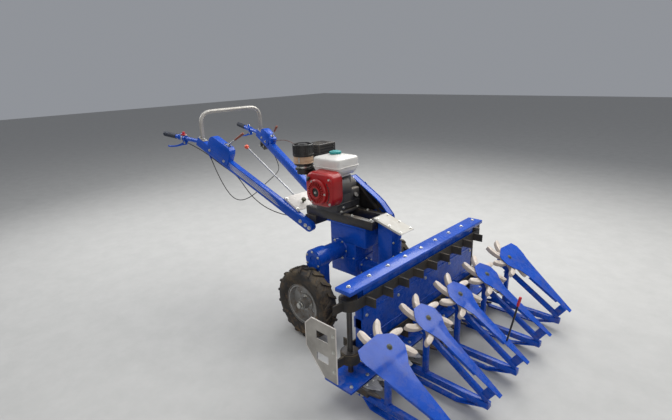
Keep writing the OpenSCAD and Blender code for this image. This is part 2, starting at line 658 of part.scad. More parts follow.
module divider_frames() color("#1c48b8") for (i = [1:rows]) {
    at_row(i) {
        translate([-40, -12, bar_z - 24]) cube([cover_reach + 20, 24, 24]);
        translate([0, 0, bar_z - 1]) cylinder(h = -bar_z + 1 - cover_t - seat, d = 16);
        translate([0, 0, bar_z]) cylinder(h = 4, d = 40);
        translate([0, 0, -8]) cylinder(h = 14, d = 10);
        translate([cover_reach - 60, -8, bar_z - 1]) cube([40, 16, -bar_z + 1 - cover_t - seat]);
    }
    moved() translate([0, (i - 3) * row_pitch, 0]) {
        block(560, 1045, -15, 15, 40, 70 - seat);
        block(716, 740, -12, 12, 60, 270);
        side_plate(-15, 15, [[600, 41], [640, 0], [900, 0], [1020, 41], [1000, 41], [897, 8], [644, 8], [612, 41]]);
    }
}

// A prong's hollow front, its tip and its convex back
prong = [[20, -16], [55, -10], [76, -11], [92, -18], [107, -27], [121, -29], [129, -24], [126, -17], [108, 1], [85, 13],
    [55, 21], [20, 22]];
module star(i) color("#d8cdb8") at_row(i) translate([0, 0, -star_top - star_t]) difference() {
    linear_extrude(star_t) {
        circle(34);
        for (k = [0:6]) rotate(star_phase + k * 360 / 7) polygon(star_r / norm([129, -24]) * prong);
    }
    translate([0, 0, -1]) cylinder(h = star_t + 2, d = 16 + 2 * run);
}

marker = [[982, 0, 199], [1024, 0, 441]];
marker_cap_l = 50;
module marker_rod() color("#141416") moved() rod(marker[0], marker[1] - marker_cap_l * unit(marker[1] - marker[0]), 9);
module marker_cap() color("#c0202a") moved() rod(marker[1] - marker_cap_l * unit(marker[1] - marker[0]), marker[1], 13);

// Control cables: one ring of corners at each point of the route, square to it
sides = 8;
function swept(way, ref, r) = [for (i = [0:len(way) - 1]) let(
    a = way[max(i - 1, 0)], b = way[min(i + 1, len(way) - 1)],
    t = unit(b - a), u = unit(cross(ref, t)), v = cross(t, u))
    for (k = [0:sides - 1]) way[i] + r * (cos(360 * k / sides) * u + sin(360 * k / sides) * v)];
function ring_faces(n) = concat([[for (k = [0:sides - 1]) k]], [for (i = [0:n - 2]) for (k = [0:sides - 1])
    [i * sides + k, (i + 1) * sides + k, (i + 1) * sides + (k + 1) % sides, i * sides + (k + 1) % sides]],
    [[for (k = [0:sides - 1]) (n - 1) * sides + sides - 1 - k]]);
module cable(way, ref, d) moved() polyhedron(swept(way, ref, d / 2), ring_faces(len(way)), convexity = 10);
module cable_clutch() color("#161618") cable(clutch_way, [0, 1, 0], cable_d);
module cable_link() color("#161618") cable(link_way, [1, 0, 0], cable_d);
module cable_throttle() color("#5a2c22") cable(throttle_way, [0, 0, 1], throttle_d);

gearbox();
side_case(-1);  // side_case_right
side_case(1);  // side_case_left
chassis_frame();
axle(-1);  // axle_right
axle(1);  // axle_left
rim(-1);  // rim_right
rim(1);  // rim_left
tyre(-1);  // tyre_right
tyre(1);  // tyre_left
engine_block();
fan_housing();
recoil_cover();
fuel_tank();
tank_cap();
air_cleaner_base();
air_cleaner_bowl();
air_cleaner_cap();
muffler();
drive_pulleys();
drive_belt();
belt_guard();
gear_plate();
gear_lever();
handle(-1);  // handle_right
handle(1);  // handle_left
grip(-1);  // grip_right
grip(1);  // grip_left
hoop();
lever_box(-1);  // lever_box_right
lever_box(1);  // lever_box_left
lever_rods();
lever_knobs();
hand_levers();
pivot_block();
plate_knob();
stop_switch();
cable_clutch();
cable_link();
cable_throttle();
header_frame();
header_board();
header_drive();
drive_cover();
end_plate();
end_rollers();
conveyor(lower_z);  // conveyor_lower
conveyor(upper_z);  // conveyor_upper
cutter_bar();
knife();
divider_frames();
divider_covers();
marker_rod();
marker_cap();
star(1);  // star_1
star(2);  // star_2
star(3);  // star_3
star(4);  // star_4
star(5);  // star_5
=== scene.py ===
import json
import math

import bmesh
import bpy
from mathutils import Matrix, Vector


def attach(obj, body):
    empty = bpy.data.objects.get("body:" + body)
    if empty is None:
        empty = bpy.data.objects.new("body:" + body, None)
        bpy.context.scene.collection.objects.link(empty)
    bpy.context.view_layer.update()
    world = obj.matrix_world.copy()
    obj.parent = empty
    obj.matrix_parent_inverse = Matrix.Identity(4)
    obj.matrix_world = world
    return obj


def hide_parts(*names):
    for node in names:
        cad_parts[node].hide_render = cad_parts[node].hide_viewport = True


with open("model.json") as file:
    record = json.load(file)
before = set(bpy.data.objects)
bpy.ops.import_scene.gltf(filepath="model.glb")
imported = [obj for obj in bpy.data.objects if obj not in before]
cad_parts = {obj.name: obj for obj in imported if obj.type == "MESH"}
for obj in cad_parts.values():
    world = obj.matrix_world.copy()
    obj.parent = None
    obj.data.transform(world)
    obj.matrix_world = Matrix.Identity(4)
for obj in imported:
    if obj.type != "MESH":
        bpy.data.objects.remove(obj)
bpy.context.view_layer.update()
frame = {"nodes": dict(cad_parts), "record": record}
scene = bpy.context.scene
nodes = frame["nodes"]

# Lengths are in millimetres from the ground point under the axle, as in the part's source.
# The whole machine then moves forward, so that the middle of its length is the origin.
AXLE_TO_MIDDLE = 211.88
MACHINE = Matrix.Scale(0.001, 4) @ Matrix.Translation((AXLE_TO_MIDDLE, 0, 0))
HERE = Matrix.Identity(4)

# The camera stands to the machine's right, ahead of it, 1.4 m up
CAMERA_AT = Vector((1.872, -1.819, 1.429))
CAMERA_AIM = Vector((-0.66309, 0.68536, -0.30097))
CAMERA_UP = Vector((-0.18391, 0.24059, 0.95303))
LENS_MM = 23.67


def photo_camera():
    data = bpy.data.cameras.new("photo_camera")
    data.lens = LENS_MM
    camera = bpy.data.objects.new("photo_camera", data)
    scene.collection.objects.link(camera)
    back = -CAMERA_AIM.normalized()
    right = CAMERA_UP.cross(back).normalized()
    up = back.cross(right)
    turn = Matrix((right, up, back)).transposed().to_4x4()
    camera.matrix_world = Matrix.Translation(CAMERA_AT) @ turn
    scene.camera = camera


photo_camera()

# Control cables: their routes are the ones in the part's source
CLUTCH_WAY = [
    (-1262, -276, 972), (-1230, -270, 962), (-1190, -262, 948), (-1140, -254, 931), (-1080, -245, 908),
    (-1010, -236, 876), (-940, -225, 843), (-870, -213, 811), (-810, -203, 780), (-770, -197, 745),
    (-735, -190, 705), (-700, -182, 668), (-655, -171, 632), (-605, -157, 602), (-550, -141, 580),
    (-490, -123, 565), (-430, -105, 558), (-370, -87, 558), (-320, -72, 564), (-280, -60, 572)]
LINK_WAY = [
    (-1030, 240, 890), (-1008, 241, 878), (-982, 241, 862), (-955, 239, 838), (-930, 235, 810),
    (-905, 227, 783), (-882, 213, 760), (-863, 192, 742), (-848, 165, 730), (-835, 130, 718),
    (-825, 90, 704), (-818, 45, 686), (-815, 0, 664), (-816, -45, 640), (-822, -85, 619), (-832, -122, 605),
    (-846, -155, 599), (-864, -184, 606), (-884, -206, 628), (-905, -222, 662), (-926, -234, 702),
    (-948, -242, 744), (-970, -248, 788), (-990, -251, 826), (-1008, -252, 858), (-1023, -252, 882)]
THROTTLE_WAY = [
    (-925, 222, 947), (-905, 218, 951), (-880, 213, 956), (-840, 205, 963), (-790, 196, 969),
    (-735, 182, 972), (-680, 164, 972), (-625, 143, 968), (-570, 119, 960), (-515, 93, 948),
    (-460, 66, 932), (-410, 40, 914), (-365, 15, 896), (-330, -8, 882), (-305, -25, 874)]


def cable_piece(name, way, thick):
    curve = bpy.data.curves.new(name, "CURVE")
    curve.dimensions = "3D"
    curve.bevel_depth = 1.0
    curve.bevel_resolution = 3
    curve.resolution_u = 4
    curve.use_fill_caps = True
    spline = curve.splines.new("BEZIER")
    spline.bezier_points.add(len(way) - 1)
    places = [MACHINE @ Vector(point) for point in way]
    for point, place in zip(spline.bezier_points, places):
        point.co = place
        point.radius = thick / 2000
        point.handle_left_type = point.handle_right_type = "AUTO"
    cable = bpy.data.objects.new(name, curve)
    scene.collection.objects.link(cable)
    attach(cable, "chassis")
    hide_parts(name.replace("_run", ""))
    return cable


# Node helpers for the finishes


def add(tree, kind, settings=None, **sockets):
    made = tree.nodes.new("ShaderNode" + kind)
    for key, value in (settings or {}).items():
        setattr(made, key, value)
    for key, value in sockets.items():
        feed(tree, made.inputs[key.replace("_", " ")], value)
    return made


def feed(tree, socket, value):
    """Link a socket to another, or set it; a colour of three numbers is made opaque."""
    if isinstance(value, bpy.types.NodeSocket):
        tree.links.new(value, socket)
    elif socket.type == "RGBA":
        socket.default_value = (*value, 1)
    else:
        socket.default_value = value


def noise(tree, place, scale, detail=3.0, rough=0.5, stretch=None):
    if stretch:
        place = add(tree, "Mapping", Vector=place, Scale=stretch).outputs["Vector"]
    return add(tree, "TexNoise", Vector=place, Scale=scale, Detail=detail, Roughness=rough).outputs["Fac"]


def limits(tree, value, low, high, out_low=0.0, out_high=1.0):
    return add(tree, "MapRange", Value=value, From_Min=low, From_Max=high, To_Min=out_low,
               To_Max=out_high).outputs["Result"]


def times(tree, a, b):
    made = add(tree, "Math", {"operation": "MULTIPLY"})
    feed(tree, made.inputs[0], a)
    feed(tree, made.inputs[1], b)
    return made.outputs[0]


def tint(tree, share, under, over):
    made = add(tree, "Mix", {"data_type": "RGBA"})
    for index, value in ((0, share), (6, under), (7, over)):
        feed(tree, made.inputs[index], value)
    return made.outputs[2]


def scaled(colour, by, plus=0.0):
    return tuple(min(1.0, c * by + plus) for c in colour)


def grey(tone):
    return (tone, tone, tone)


DUST = (0.30, 0.22, 0.12)
MUD = (0.16, 0.105, 0.06)
PRIMER = (0.30, 0.29, 0.28)
RUST = (0.16, 0.07, 0.035)


def spangled(tree, place, size, skin, colour, rough):
    """Crystals of a zinc coat: cells of another tone and gloss."""
    cells = add(tree, "TexVoronoi", {"feature": "F1"}, Vector=place, Scale=size)
    tone = add(tree, "SeparateColor", Color=cells.outputs["Color"]).outputs[0]
    skin = tint(tree, times(tree, tone, 0.45), skin, scaled(colour, 1.5))
    return skin, limits(tree, tone, 0.0, 1.0, rough * 0.7, rough * 1.3)


def chipped(tree, place, skin, roughness, colour, under, worn):
    """Chips down to what lies under the paint, and fine scratches."""
    scuffs = limits(tree, noise(tree, place, 38.0, 8.0, 0.72), 0.69 - 0.16 * worn, 0.72 - 0.16 * worn)
    streaks = noise(tree, place, 60.0, 2.0, 0.5, (0.12, 1.0, 1.0))
    scratches = times(tree, limits(tree, streaks, 0.74 - 0.1 * worn, 0.76 - 0.1 * worn), 0.6)
    skin = tint(tree, scuffs, skin, under)
    skin = tint(tree, scratches, skin, scaled(colour, 1.6, 0.02))
    return skin, tint(tree, scuffs, roughness, grey(0.6))


def dusted(tree, place, skin, roughness, amount):
    """A dry film in clouds, thickest on what faces up."""
    normal = add(tree, "NewGeometry").outputs["Normal"]
    lying = limits(tree, add(tree, "SeparateXYZ", Vector=normal).outputs["Z"], -0.2, 1.0, 0.25, 1.0)
    clouds = limits(tree, noise(tree, place, 11.0, 6.0, 0.7), 0.42, 0.72)
    film = times(tree, times(tree, clouds, lying), amount)
    return tint(tree, film, skin, DUST), tint(tree, film, roughness, grey(0.85))


def muddied(tree, place, skin, roughness, amount):
    """Dried splashes, thickest near the ground."""
    height = add(tree, "SeparateXYZ", Vector=place).outputs["Z"]
    low_down = limits(tree, height, 0.02, 0.55, 1.0, 0.0)
    splashes = limits(tree, noise(tree, place, 26.0, 8.0, 0.7), 0.5, 0.64)
    crust = times(tree, times(tree, splashes, low_down), amount)
    return tint(tree, crust, skin, MUD), tint(tree, crust, roughness, grey(0.95))


def finish(name, colour, rough, metal=0.0, coat=0.0, mottle=0.12, grain=400.0, bump=0.08, wear=None,
           worn=0.0, dust=0.25, mud=0.0, stretch=None, spangle=0.0, weave=0.0, spec=0.5):
    material = bpy.data.materials.new(name)
    material.use_nodes = True
    tree = material.node_tree
    place = add(tree, "TexCoord").outputs["Object"]
    # Slow change of tone and of gloss over the surface
    shade = limits(tree, noise(tree, place, 7.0, 4.0, 0.6), 0.35, 0.65)
    skin = tint(tree, shade, scaled(colour, 1 - 2.2 * mottle), scaled(colour, 1 + mottle, 0.015 * mottle))
    gloss = noise(tree, place, 22.0, 5.0, 0.65)
    roughness = limits(tree, gloss, 0.3, 0.7, rough * 0.8, min(1.0, rough * 1.25 + 0.03))
    fine = noise(tree, place, grain, 2.0, 0.5, stretch)
    relief = fine
    if spangle:
        skin, roughness = spangled(tree, place, spangle, skin, colour, rough)
    if stretch:
        skin = tint(tree, limits(tree, fine, 0.4, 0.62, 0.0, 0.5), skin, scaled(colour, 0.55))
    if weave:
        bands = {"wave_type": "BANDS", "bands_direction": "Z"}
        ribs = add(tree, "TexWave", bands, Vector=place, Scale=weave).outputs["Fac"]
        relief = times(tree, ribs, fine)
        skin = tint(tree, times(tree, ribs, 0.4), skin, scaled(colour, 2.2))
    if wear:
        skin, roughness = chipped(tree, place, skin, roughness, colour, wear, worn)
    if dust:
        skin, roughness = dusted(tree, place, skin, roughness, dust)
    if mud:
        skin, roughness = muddied(tree, place, skin, roughness, mud)
    shader = tree.nodes["Principled BSDF"]
    lift = add(tree, "Bump", Height=relief, Strength=bump, Distance=0.0006).outputs["Normal"]
    for socket, value in (("Base Color", skin), ("Roughness", roughness), ("Normal", lift),
                          ("Metallic", metal), ("Specular IOR Level", spec)):
        feed(tree, shader.inputs[socket], value)
    if coat:
        shader.inputs["Coat Weight"].default_value = coat
        shader.inputs["Coat Roughness"].default_value = 0.06
    return material


LOOKS = {
    # Enamel
    "blue_paint": dict(colour=(0.003, 0.066, 0.43), rough=0.24, coat=0.14, mottle=0.07, grain=260, bump=0.04,
                       wear=(0.16, 0.20, 0.30), worn=0.04, dust=0.03, mud=0.35, spec=0.22),
    "black_paint": dict(colour=(0.016, 0.016, 0.018), rough=0.42, coat=0.15, wear=RUST, worn=0.3, dust=0.35,
                        mud=0.5),
    "red_paint": dict(colour=(0.34, 0.004, 0.006), rough=0.32, coat=0.15, mottle=0.10, grain=320, bump=0.04,
                      wear=PRIMER, worn=0.02, dust=0.12, spec=0.4),
    "white_paint": dict(colour=(0.54, 0.52, 0.47), rough=0.5, mottle=0.05, wear=RUST, worn=0.08, dust=0.25,
                        mud=0.3, spec=0.3),
    "pale_paint": dict(colour=(0.66, 0.62, 0.58), rough=0.45, mottle=0.06, wear=RUST, worn=0.1, dust=0.2),
    "rim_grey": dict(colour=(0.24, 0.24, 0.235), rough=0.45, mottle=0.12, wear=RUST, worn=0.5, dust=0.4,
                     mud=1.0),
    # Bare and plated metal
    "engine_alloy": dict(colour=(0.085, 0.085, 0.09), rough=0.55, metal=0.7, grain=520, bump=0.35, wear=RUST,
                         worn=0.2, dust=0.35),
    "dark_steel": dict(colour=(0.10, 0.10, 0.105), rough=0.42, metal=0.85, grain=240, bump=0.12,
                       stretch=(1.0, 0.06, 1.0), wear=RUST, worn=0.45, dust=0.25, mud=0.8),
    "bright_steel": dict(colour=(0.46, 0.46, 0.47), rough=0.42, metal=1.0, grain=300, bump=0.06,
                         stretch=(0.08, 1.0, 1.0), wear=RUST, worn=0.1, dust=0.15),
    "grey_steel": dict(colour=(0.40, 0.38, 0.35), rough=0.46, metal=0.65, grain=300, bump=0.06, wear=RUST,
                       worn=0.05, dust=0.12),
    # Rubber
    "tyre": dict(colour=(0.020, 0.019, 0.019), rough=0.72, mottle=0.2, grain=700, bump=0.3, dust=0.5, mud=1.0,
                 spec=0.35),
    "belt_rubber": dict(colour=(0.022, 0.022, 0.023), rough=0.7, mottle=0.15, grain=600, bump=0.3, weave=90.0,
                        dust=0.4, mud=0.5, spec=0.35),
    "grip_rubber": dict(colour=(0.012, 0.020, 0.040), rough=0.6, mottle=0.15, grain=900, bump=0.35, dust=0.2,
                        spec=0.4),
    # Plastic
    "tank_white": dict(colour=(0.66, 0.64, 0.60), rough=0.30, coat=0.3, mottle=0.04, grain=200, bump=0.04,
                       wear=(0.45, 0.40, 0.34), worn=0.06, dust=0.22),
    "cap_teal": dict(colour=(0.02, 0.33, 0.32), rough=0.35, coat=0.2, mottle=0.08, dust=0.15),
    "black_plastic": dict(colour=(0.012, 0.012, 0.013), rough=0.36, mottle=0.12, grain=900, bump=0.15,
                          dust=0.14),
    "pale_plastic": dict(colour=(0.46, 0.31, 0.20), rough=0.4, mottle=0.10, dust=0.2, spec=0.4),
    "red_plastic": dict(colour=(0.52, 0.012, 0.03), rough=0.32, coat=0.2, mottle=0.06, dust=0.1),
    "cream_plastic": dict(colour=(0.62, 0.54, 0.47), rough=0.38, mottle=0.08, grain=300, bump=0.1,
                          wear=(0.30, 0.24, 0.17), worn=0.35, dust=0.25, mud=0.7),
    "knob_brown": dict(colour=(0.22, 0.045, 0.018), rough=0.38, mottle=0.1, dust=0.1),
    "knob_olive": dict(colour=(0.055, 0.06, 0.028), rough=0.5, mottle=0.12, dust=0.3),
    "knob_orange": dict(colour=(0.80, 0.085, 0.02), rough=0.3, coat=0.3, mottle=0.06, dust=0.1),
    "cable_black": dict(colour=(0.015, 0.015, 0.016), rough=0.45, mottle=0.1, dust=0.15),
    "cable_brown": dict(colour=(0.10, 0.028, 0.014), rough=0.45, mottle=0.1, dust=0.15),
    # Zinc plate of the bolts
    "zinc": dict(colour=(0.55, 0.55, 0.52), rough=0.33, metal=1.0, spangle=700.0, dust=0.15),
}
finishes = {name: finish(name, **look) for name, look in LOOKS.items()}

# Every CAD node that still shows takes the finish of its slot
for subpart in frame["record"]["subparts"]:
    mesh = nodes[subpart["node"]].data
    mesh.materials.clear()
    mesh.materials.append(finishes[subpart["material_slot"]])

for name, way, thick, slot in (("cable_clutch_run", CLUTCH_WAY, 6, "cable_black"),
                               ("cable_link_run", LINK_WAY, 6, "cable_black"),
                               ("cable_throttle_run", THROTTLE_WAY, 5, "cable_brown")):
    cable_piece(name, way, thick).data.materials.append(finishes[slot])


# Shapes. Each is a small mesh of its own in millimetres, placed by a matrix and then joined to its piece.

UP = (0, 0, 1)
DOWN = (0, 0, -1)
AHEAD = (1, 0, 0)
BACK = (-1, 0, 0)
LEFT = (0, 1, 0)
RIGHT = (0, -1, 0)
SIDES = (("right", -1), ("left", 1))


def move(x, y, z):
    return Matrix.Translation((x, y, z))


def turn_about(axis, angle):
    return Matrix.Rotation(angle, 4, axis)


# A shape's Z turned ahead, and a shape's Y turned up
Z_AHEAD = turn_about("Y", math.pi / 2)
Y_UP = turn_about("X", math.pi / 2)


def pointing(centre, axis):
    """A place whose Z runs along the axis."""
    return Matrix.Translation(centre) @ Vector(axis).to_track_quat("Z", "X").to_matrix().to_4x4()


def facing(origin, x_axis):
    """A place with its X along the axis and its Z as near upright as can be."""
    x = Vector(x_axis).normalized()
    y = Vector(UP).cross(x).normalized()
    return Matrix.Translation(origin) @ Matrix((x, y, x.cross(y))).transposed().to_4x4()


def round_about(place, count, first=0.0):
    """The place turned about its Z into that many even stations, from the angle first on."""
    return [place @ turn_about("Z", first + k * math.tau / count) for k in range(count)]


def sweep(turn, count):
    """The angles from nought to turn in that many steps."""
    return [turn * k / count for k in range(count + 1)]


def circle(radius, count, first=0.0):
    """Even points round a circle, as pairs."""
    angles = [first + math.tau * k / count for k in range(count)]
    return [(radius * math.cos(a), radius * math.sin(a)) for a in angles]


def add_shape(target, shape, place=HERE):
    bmesh.ops.recalc_face_normals(shape, faces=shape.faces)
    bmesh.ops.transform(shape, matrix=place, verts=shape.verts)
    if place.determinant() < 0:
        bmesh.ops.reverse_faces(shape, faces=shape.faces)
    carrier = bpy.data.meshes.new("carrier")
    shape.to_mesh(carrier)
    shape.free()
    target.from_mesh(carrier)
    bpy.data.meshes.remove(carrier)


def piece(name, target, slot, body="chassis", replaces=(), sharp=32.0):
    """One object of the machine, from its mesh in millimetres, with its finish and the body it moves with."""
    bmesh.ops.transform(target, matrix=MACHINE, verts=target.verts)
    for face in target.faces:
        face.smooth = True
    for edge in target.edges:
        edge.smooth = edge.calc_face_angle(0.0) < math.radians(sharp)
    mesh = bpy.data.meshes.new(name)
    target.to_mesh(mesh)
    target.free()
    made = bpy.data.objects.new(name, mesh)
    scene.collection.objects.link(made)
    mesh.materials.append(finishes[slot])
    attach(made, body)
    if replaces:
        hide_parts(*replaces)
    return made


def fill(shape, points):
    return shape.faces.new([shape.verts.new(point) for point in points])


def push(shape, faces, by):
    """Extrude these faces by that much, and give back their new corners."""
    pushed = bmesh.ops.extrude_face_region(shape, geom=faces)["geom"]
    corners = [part for part in pushed if isinstance(part, bmesh.types.BMVert)]
    bmesh.ops.translate(shape, vec=by, verts=corners)
    return corners


def spin_round(shape, geom, steps):
    bmesh.ops.spin(shape, geom=geom, cent=(0, 0, 0), axis=(0, 0, 1), angle=math.tau, steps=steps,
                   use_merge=True)


def rounded(shape, edges, by, segments=2):
    bmesh.ops.bevel(shape, geom=list(edges), offset=by, offset_type="OFFSET", segments=segments, profile=0.5,
                    affect="EDGES", material=-1, clamp_overlap=True)


def level_edges(shape):
    return [e for e in shape.edges if abs(e.verts[0].co.z - e.verts[1].co.z) < 0.001]


def band(shape, loops):
    """Faces between each loop of corners and the next."""
    for under, over in zip(loops, loops[1:]):
        count = len(under)
        for k in range(count):
            shape.faces.new((under[k], under[(k + 1) % count], over[(k + 1) % count], over[k]))


def block(target, xs, ys, zs, edge=1.0, place=HERE, segments=2):
    shape = bmesh.new()
    middle = [(a + b) / 2 for a, b in (xs, ys, zs)]
    size = [b - a for a, b in (xs, ys, zs)]
    bmesh.ops.create_cube(shape, size=1, matrix=Matrix.Translation(middle) @ Matrix.Diagonal((*size, 1)))
    rounded(shape, shape.edges, edge, segments)
    add_shape(target, shape, place)


def turned(target, profile, place=HERE, steps=40):
    """A shape turned about its own Z from points (radius, height)."""
    shape = bmesh.new()
    line = [shape.verts.new((radius, 0, height)) for radius, height in profile]
    edges = [shape.edges.new(pair) for pair in zip(line, line[1:])]
    spin_round(shape, line + edges, steps)
    bmesh.ops.remove_doubles(shape, verts=shape.verts, dist=0.001)
    add_shape(target, shape, place)


def disc(target, radius, low, high, place, steps):
    turned(target, [(0, low), (radius, low), (radius, high), (0, high)], place, steps)


def plate(target, outline, thick, place=HERE, edge=0.0, segments=2):
    """A flat plate of that outline in XY, from Z = 0 up to thick."""
    shape = bmesh.new()
    push(shape, [fill(shape, [(x, y, 0) for x, y in outline])], (0, 0, thick))
    bmesh.ops.recalc_face_normals(shape, faces=shape.faces)
    if edge:
        rounded(shape, shape.edges, edge, segments)
    add_shape(target, shape, place)


def bar(target, outline, thick, place=HERE, edge=0.0):
    """A plate of that outline in the place's XZ plane, thick across Y and centred on it."""
    plate(target, outline, thick, place @ move(0, thick / 2, 0) @ Y_UP, edge)


def panel(target, xs, ys, thick, holes, place=HERE):
    """A plate in XY with rectangular holes (x0, x1, y0, y1) through it."""
    lines_x = sorted({*xs, *[h[0] for h in holes], *[h[1] for h in holes]})
    lines_y = sorted({*ys, *[h[2] for h in holes], *[h[3] for h in holes]})
    shape = bmesh.new()
    grid = {(x, y): shape.verts.new((x, y, 0)) for x in lines_x for y in lines_y}
    for x0, x1 in zip(lines_x, lines_x[1:]):
        for y0, y1 in zip(lines_y, lines_y[1:]):
            x, y = (x0 + x1) / 2, (y0 + y1) / 2
            if not any(h[0] < x < h[1] and h[2] < y < h[3] for h in holes):
                shape.faces.new((grid[x0, y0], grid[x1, y0], grid[x1, y1], grid[x0, y1]))
    bmesh.ops.delete(shape, geom=[v for v in shape.verts if not v.link_faces], context="VERTS")
    push(shape, shape.faces[:], (0, 0, thick))
    add_shape(target, shape, place)


def sheet_solid(target, outline, thick, lift, place, seams):
    """A plate whose top and bottom follow lift(x, y), cut along the seams so that it can bend there."""
    shape = bmesh.new()
    fill(shape, [(x, y, 0) for x, y in outline])
    for point, normal in seams:
        bmesh.ops.bisect_plane(shape, geom=shape.verts[:] + shape.edges[:] + shape.faces[:], plane_co=point,
                               plane_no=normal, dist=0.01)
    push(shape, shape.faces[:], (0, 0, -thick))
    for vert in shape.verts:
        vert.co.z += lift(vert.co.x, vert.co.y)
    add_shape(target, shape, place)


def rod(target, start, end, thick, tip=None, edge=0.0):
    start, end = Vector(start), Vector(end)
    shape = bmesh.new()
    bmesh.ops.create_cone(shape, cap_ends=True, segments=20, radius1=thick / 2,
                          radius2=(thick if tip is None else tip) / 2, depth=(end - start).length)
    if edge:
        rounded(shape, level_edges(shape), edge)
    add_shape(target, shape, pointing((start + end) / 2, end - start))


def ring(target, centre, axis, radius, thick, steps=40):
    """A round bar bent into a ring about an axis."""
    shape = bmesh.new()
    bmesh.ops.create_circle(shape, segments=12, radius=thick / 2, matrix=move(radius, 0, 0) @ Y_UP)
    spin_round(shape, shape.verts[:] + shape.edges[:], steps)
    add_shape(target, shape, pointing(centre, axis))


def fillet(points, radius, steps=6):
    """The same route with each corner turned into an arc-like curve of that radius."""
    points = [Vector(p) for p in points]
    route = [points[0]]
    for a, b, c in zip(points, points[1:], points[2:]):
        back, ahead = (a - b), (c - b)
        half_turn = max(0.05, back.angle(ahead) / 2)
        reach = min(radius / math.tan(half_turn), back.length * 0.49, ahead.length * 0.49)
        start, end = b + back.normalized() * reach, b + ahead.normalized() * reach
        for k in range(steps + 1):
            t = k / steps
            route.append(start * (1 - t) ** 2 + b * 2 * t * (1 - t) + end * t * t)
    return route + [points[-1]]


def pipe(target, route, thick, sides=16, place=HERE):
    """A round bar or tube along a route, closed at both ends; thick may change along the way."""
    route = [Vector(p) for p in route]
    wide = thick if isinstance(thick, (list, tuple)) else [thick] * len(route)
    shape = bmesh.new()
    along = [(b - a).normalized() for a, b in zip(route, route[1:])]
    ways = [along[0]] + [(a + b).normalized() for a, b in zip(along, along[1:])] + [along[-1]]
    side = ways[0].orthogonal().normalized()
    loops = []
    for point, way, width in zip(route, ways, wide):
        side = (side - way * side.dot(way)).normalized()
        other = way.cross(side)
        loops.append([shape.verts.new(point + (side * math.cos(a) + other * math.sin(a)) * width / 2)
                      for a in [math.tau * k / sides for k in range(sides)]])
    band(shape, loops)
    shape.faces.new(loops[0])
    shape.faces.new(loops[-1])
    add_shape(target, shape, place)


def ferrule(target, end, before, back, wide):
    """The sleeve of a cable's end: it starts at the cable's last point and runs on inside what holds it."""
    end, before = Vector(end), Vector(before)
    way = (end - before).normalized()
    route = [end, end + 1.2 * way, end + (back - 1) * way, end + back * way]
    pipe(target, route, [wide - 1.6, wide, wide, wide - 1], 16)


def bolt(target, centre, axis, across=13.0, place=HERE, washer=None, high=None):
    """A hexagon head on its washer."""
    spot = pointing(place @ Vector(centre), place.to_3x3() @ Vector(axis))
    high = high or across * 0.45
    washer = washer or across * 0.8
    turned(target, [(0, 0), (washer, 0), (washer, 1.4), (0, 1.6)], spot, 20)
    shape = bmesh.new()
    bmesh.ops.create_cone(shape, cap_ends=True, segments=6, radius1=across / 1.732, radius2=across / 1.732,
                          depth=high, matrix=move(0, 0, 1.4 + high / 2))
    top = [e for e in shape.edges if min(v.co.z for v in e.verts) > high]
    rounded(shape, top, across * 0.07)
    add_shape(target, shape, spot)


def bolts(target, centres, axis, across=13.0, place=HERE):
    for centre in centres:
        bolt(target, centre, axis, across, place)


def dome_bolt(target, centre, axis, wide, place=HERE):
    """A low round head on a thin washer."""
    profile = [(0, 0), (wide * 0.62, 0), (wide * 0.62, 1.6), (wide * 0.46, 1.8), (wide * 0.42, wide * 0.16),
               (wide * 0.3, wide * 0.27), (wide * 0.12, wide * 0.32), (0, wide * 0.325)]
    turned(target, profile, pointing(place @ Vector(centre), place.to_3x3() @ Vector(axis)), 24)


# Handles: a beam's own place has X down the beam, Z square to its top, and its origin at the rear top edge
BEAM_REAR = Vector((-1138, 253, 1023))
BEAM_FRONT = Vector((-170, 110.5, 548.7))
BEAM_LONG = (BEAM_FRONT - BEAM_REAR).length
BEAM_RUN = 968
BEAM_DROP = 474.3
BEAM_SLOPE = math.atan2(BEAM_DROP, BEAM_RUN)
BEAM_W = 40
BEAM_H = 60
TUBE_TIP = Vector((-1510, 322, 1030))
TUBE_ROOT = Vector((-1118, 250, 987))
TUBE_D = 28
GRIP_RIBS = 9


def handed(point, side):
    return Vector((point[0], point[1] * side, point[2]))


def beam_place(side):
    return facing(handed(BEAM_REAR, side), handed(BEAM_FRONT - BEAM_REAR, side))


def tube_place(side):
    return facing(handed(TUBE_TIP, side), handed(TUBE_ROOT - TUBE_TIP, side))


def beam_top(x):
    return BEAM_REAR.z - (x - BEAM_REAR.x) * BEAM_DROP / BEAM_RUN


def handle_beam(word, side):
    made = bmesh.new()
    radius = BEAM_H / 2
    nose = [(BEAM_LONG - radius + radius * math.sin(a), -radius - radius * math.cos(a))
            for a in sweep(math.pi, 12)]
    bar(made, [(0, 0), (0, -BEAM_H)] + nose, BEAM_W, beam_place(side), 3.5)
    start, end = handed(TUBE_TIP, side), handed(TUBE_ROOT, side)
    way = (end - start).normalized()
    pipe(made, [start + 5 * way, end], TUBE_D, 32)
    # The weld where the tube enters the beam
    ring(made, handed((-1139, 253.9, 989.2), side), way, TUBE_D / 2 + 1.2, 5)
    if side < 0:
        ferrule(made, LINK_WAY[-1], LINK_WAY[-2], 50, 10)
    piece("handle_beam_" + word, made, "blue_paint", replaces=["handle_" + word])


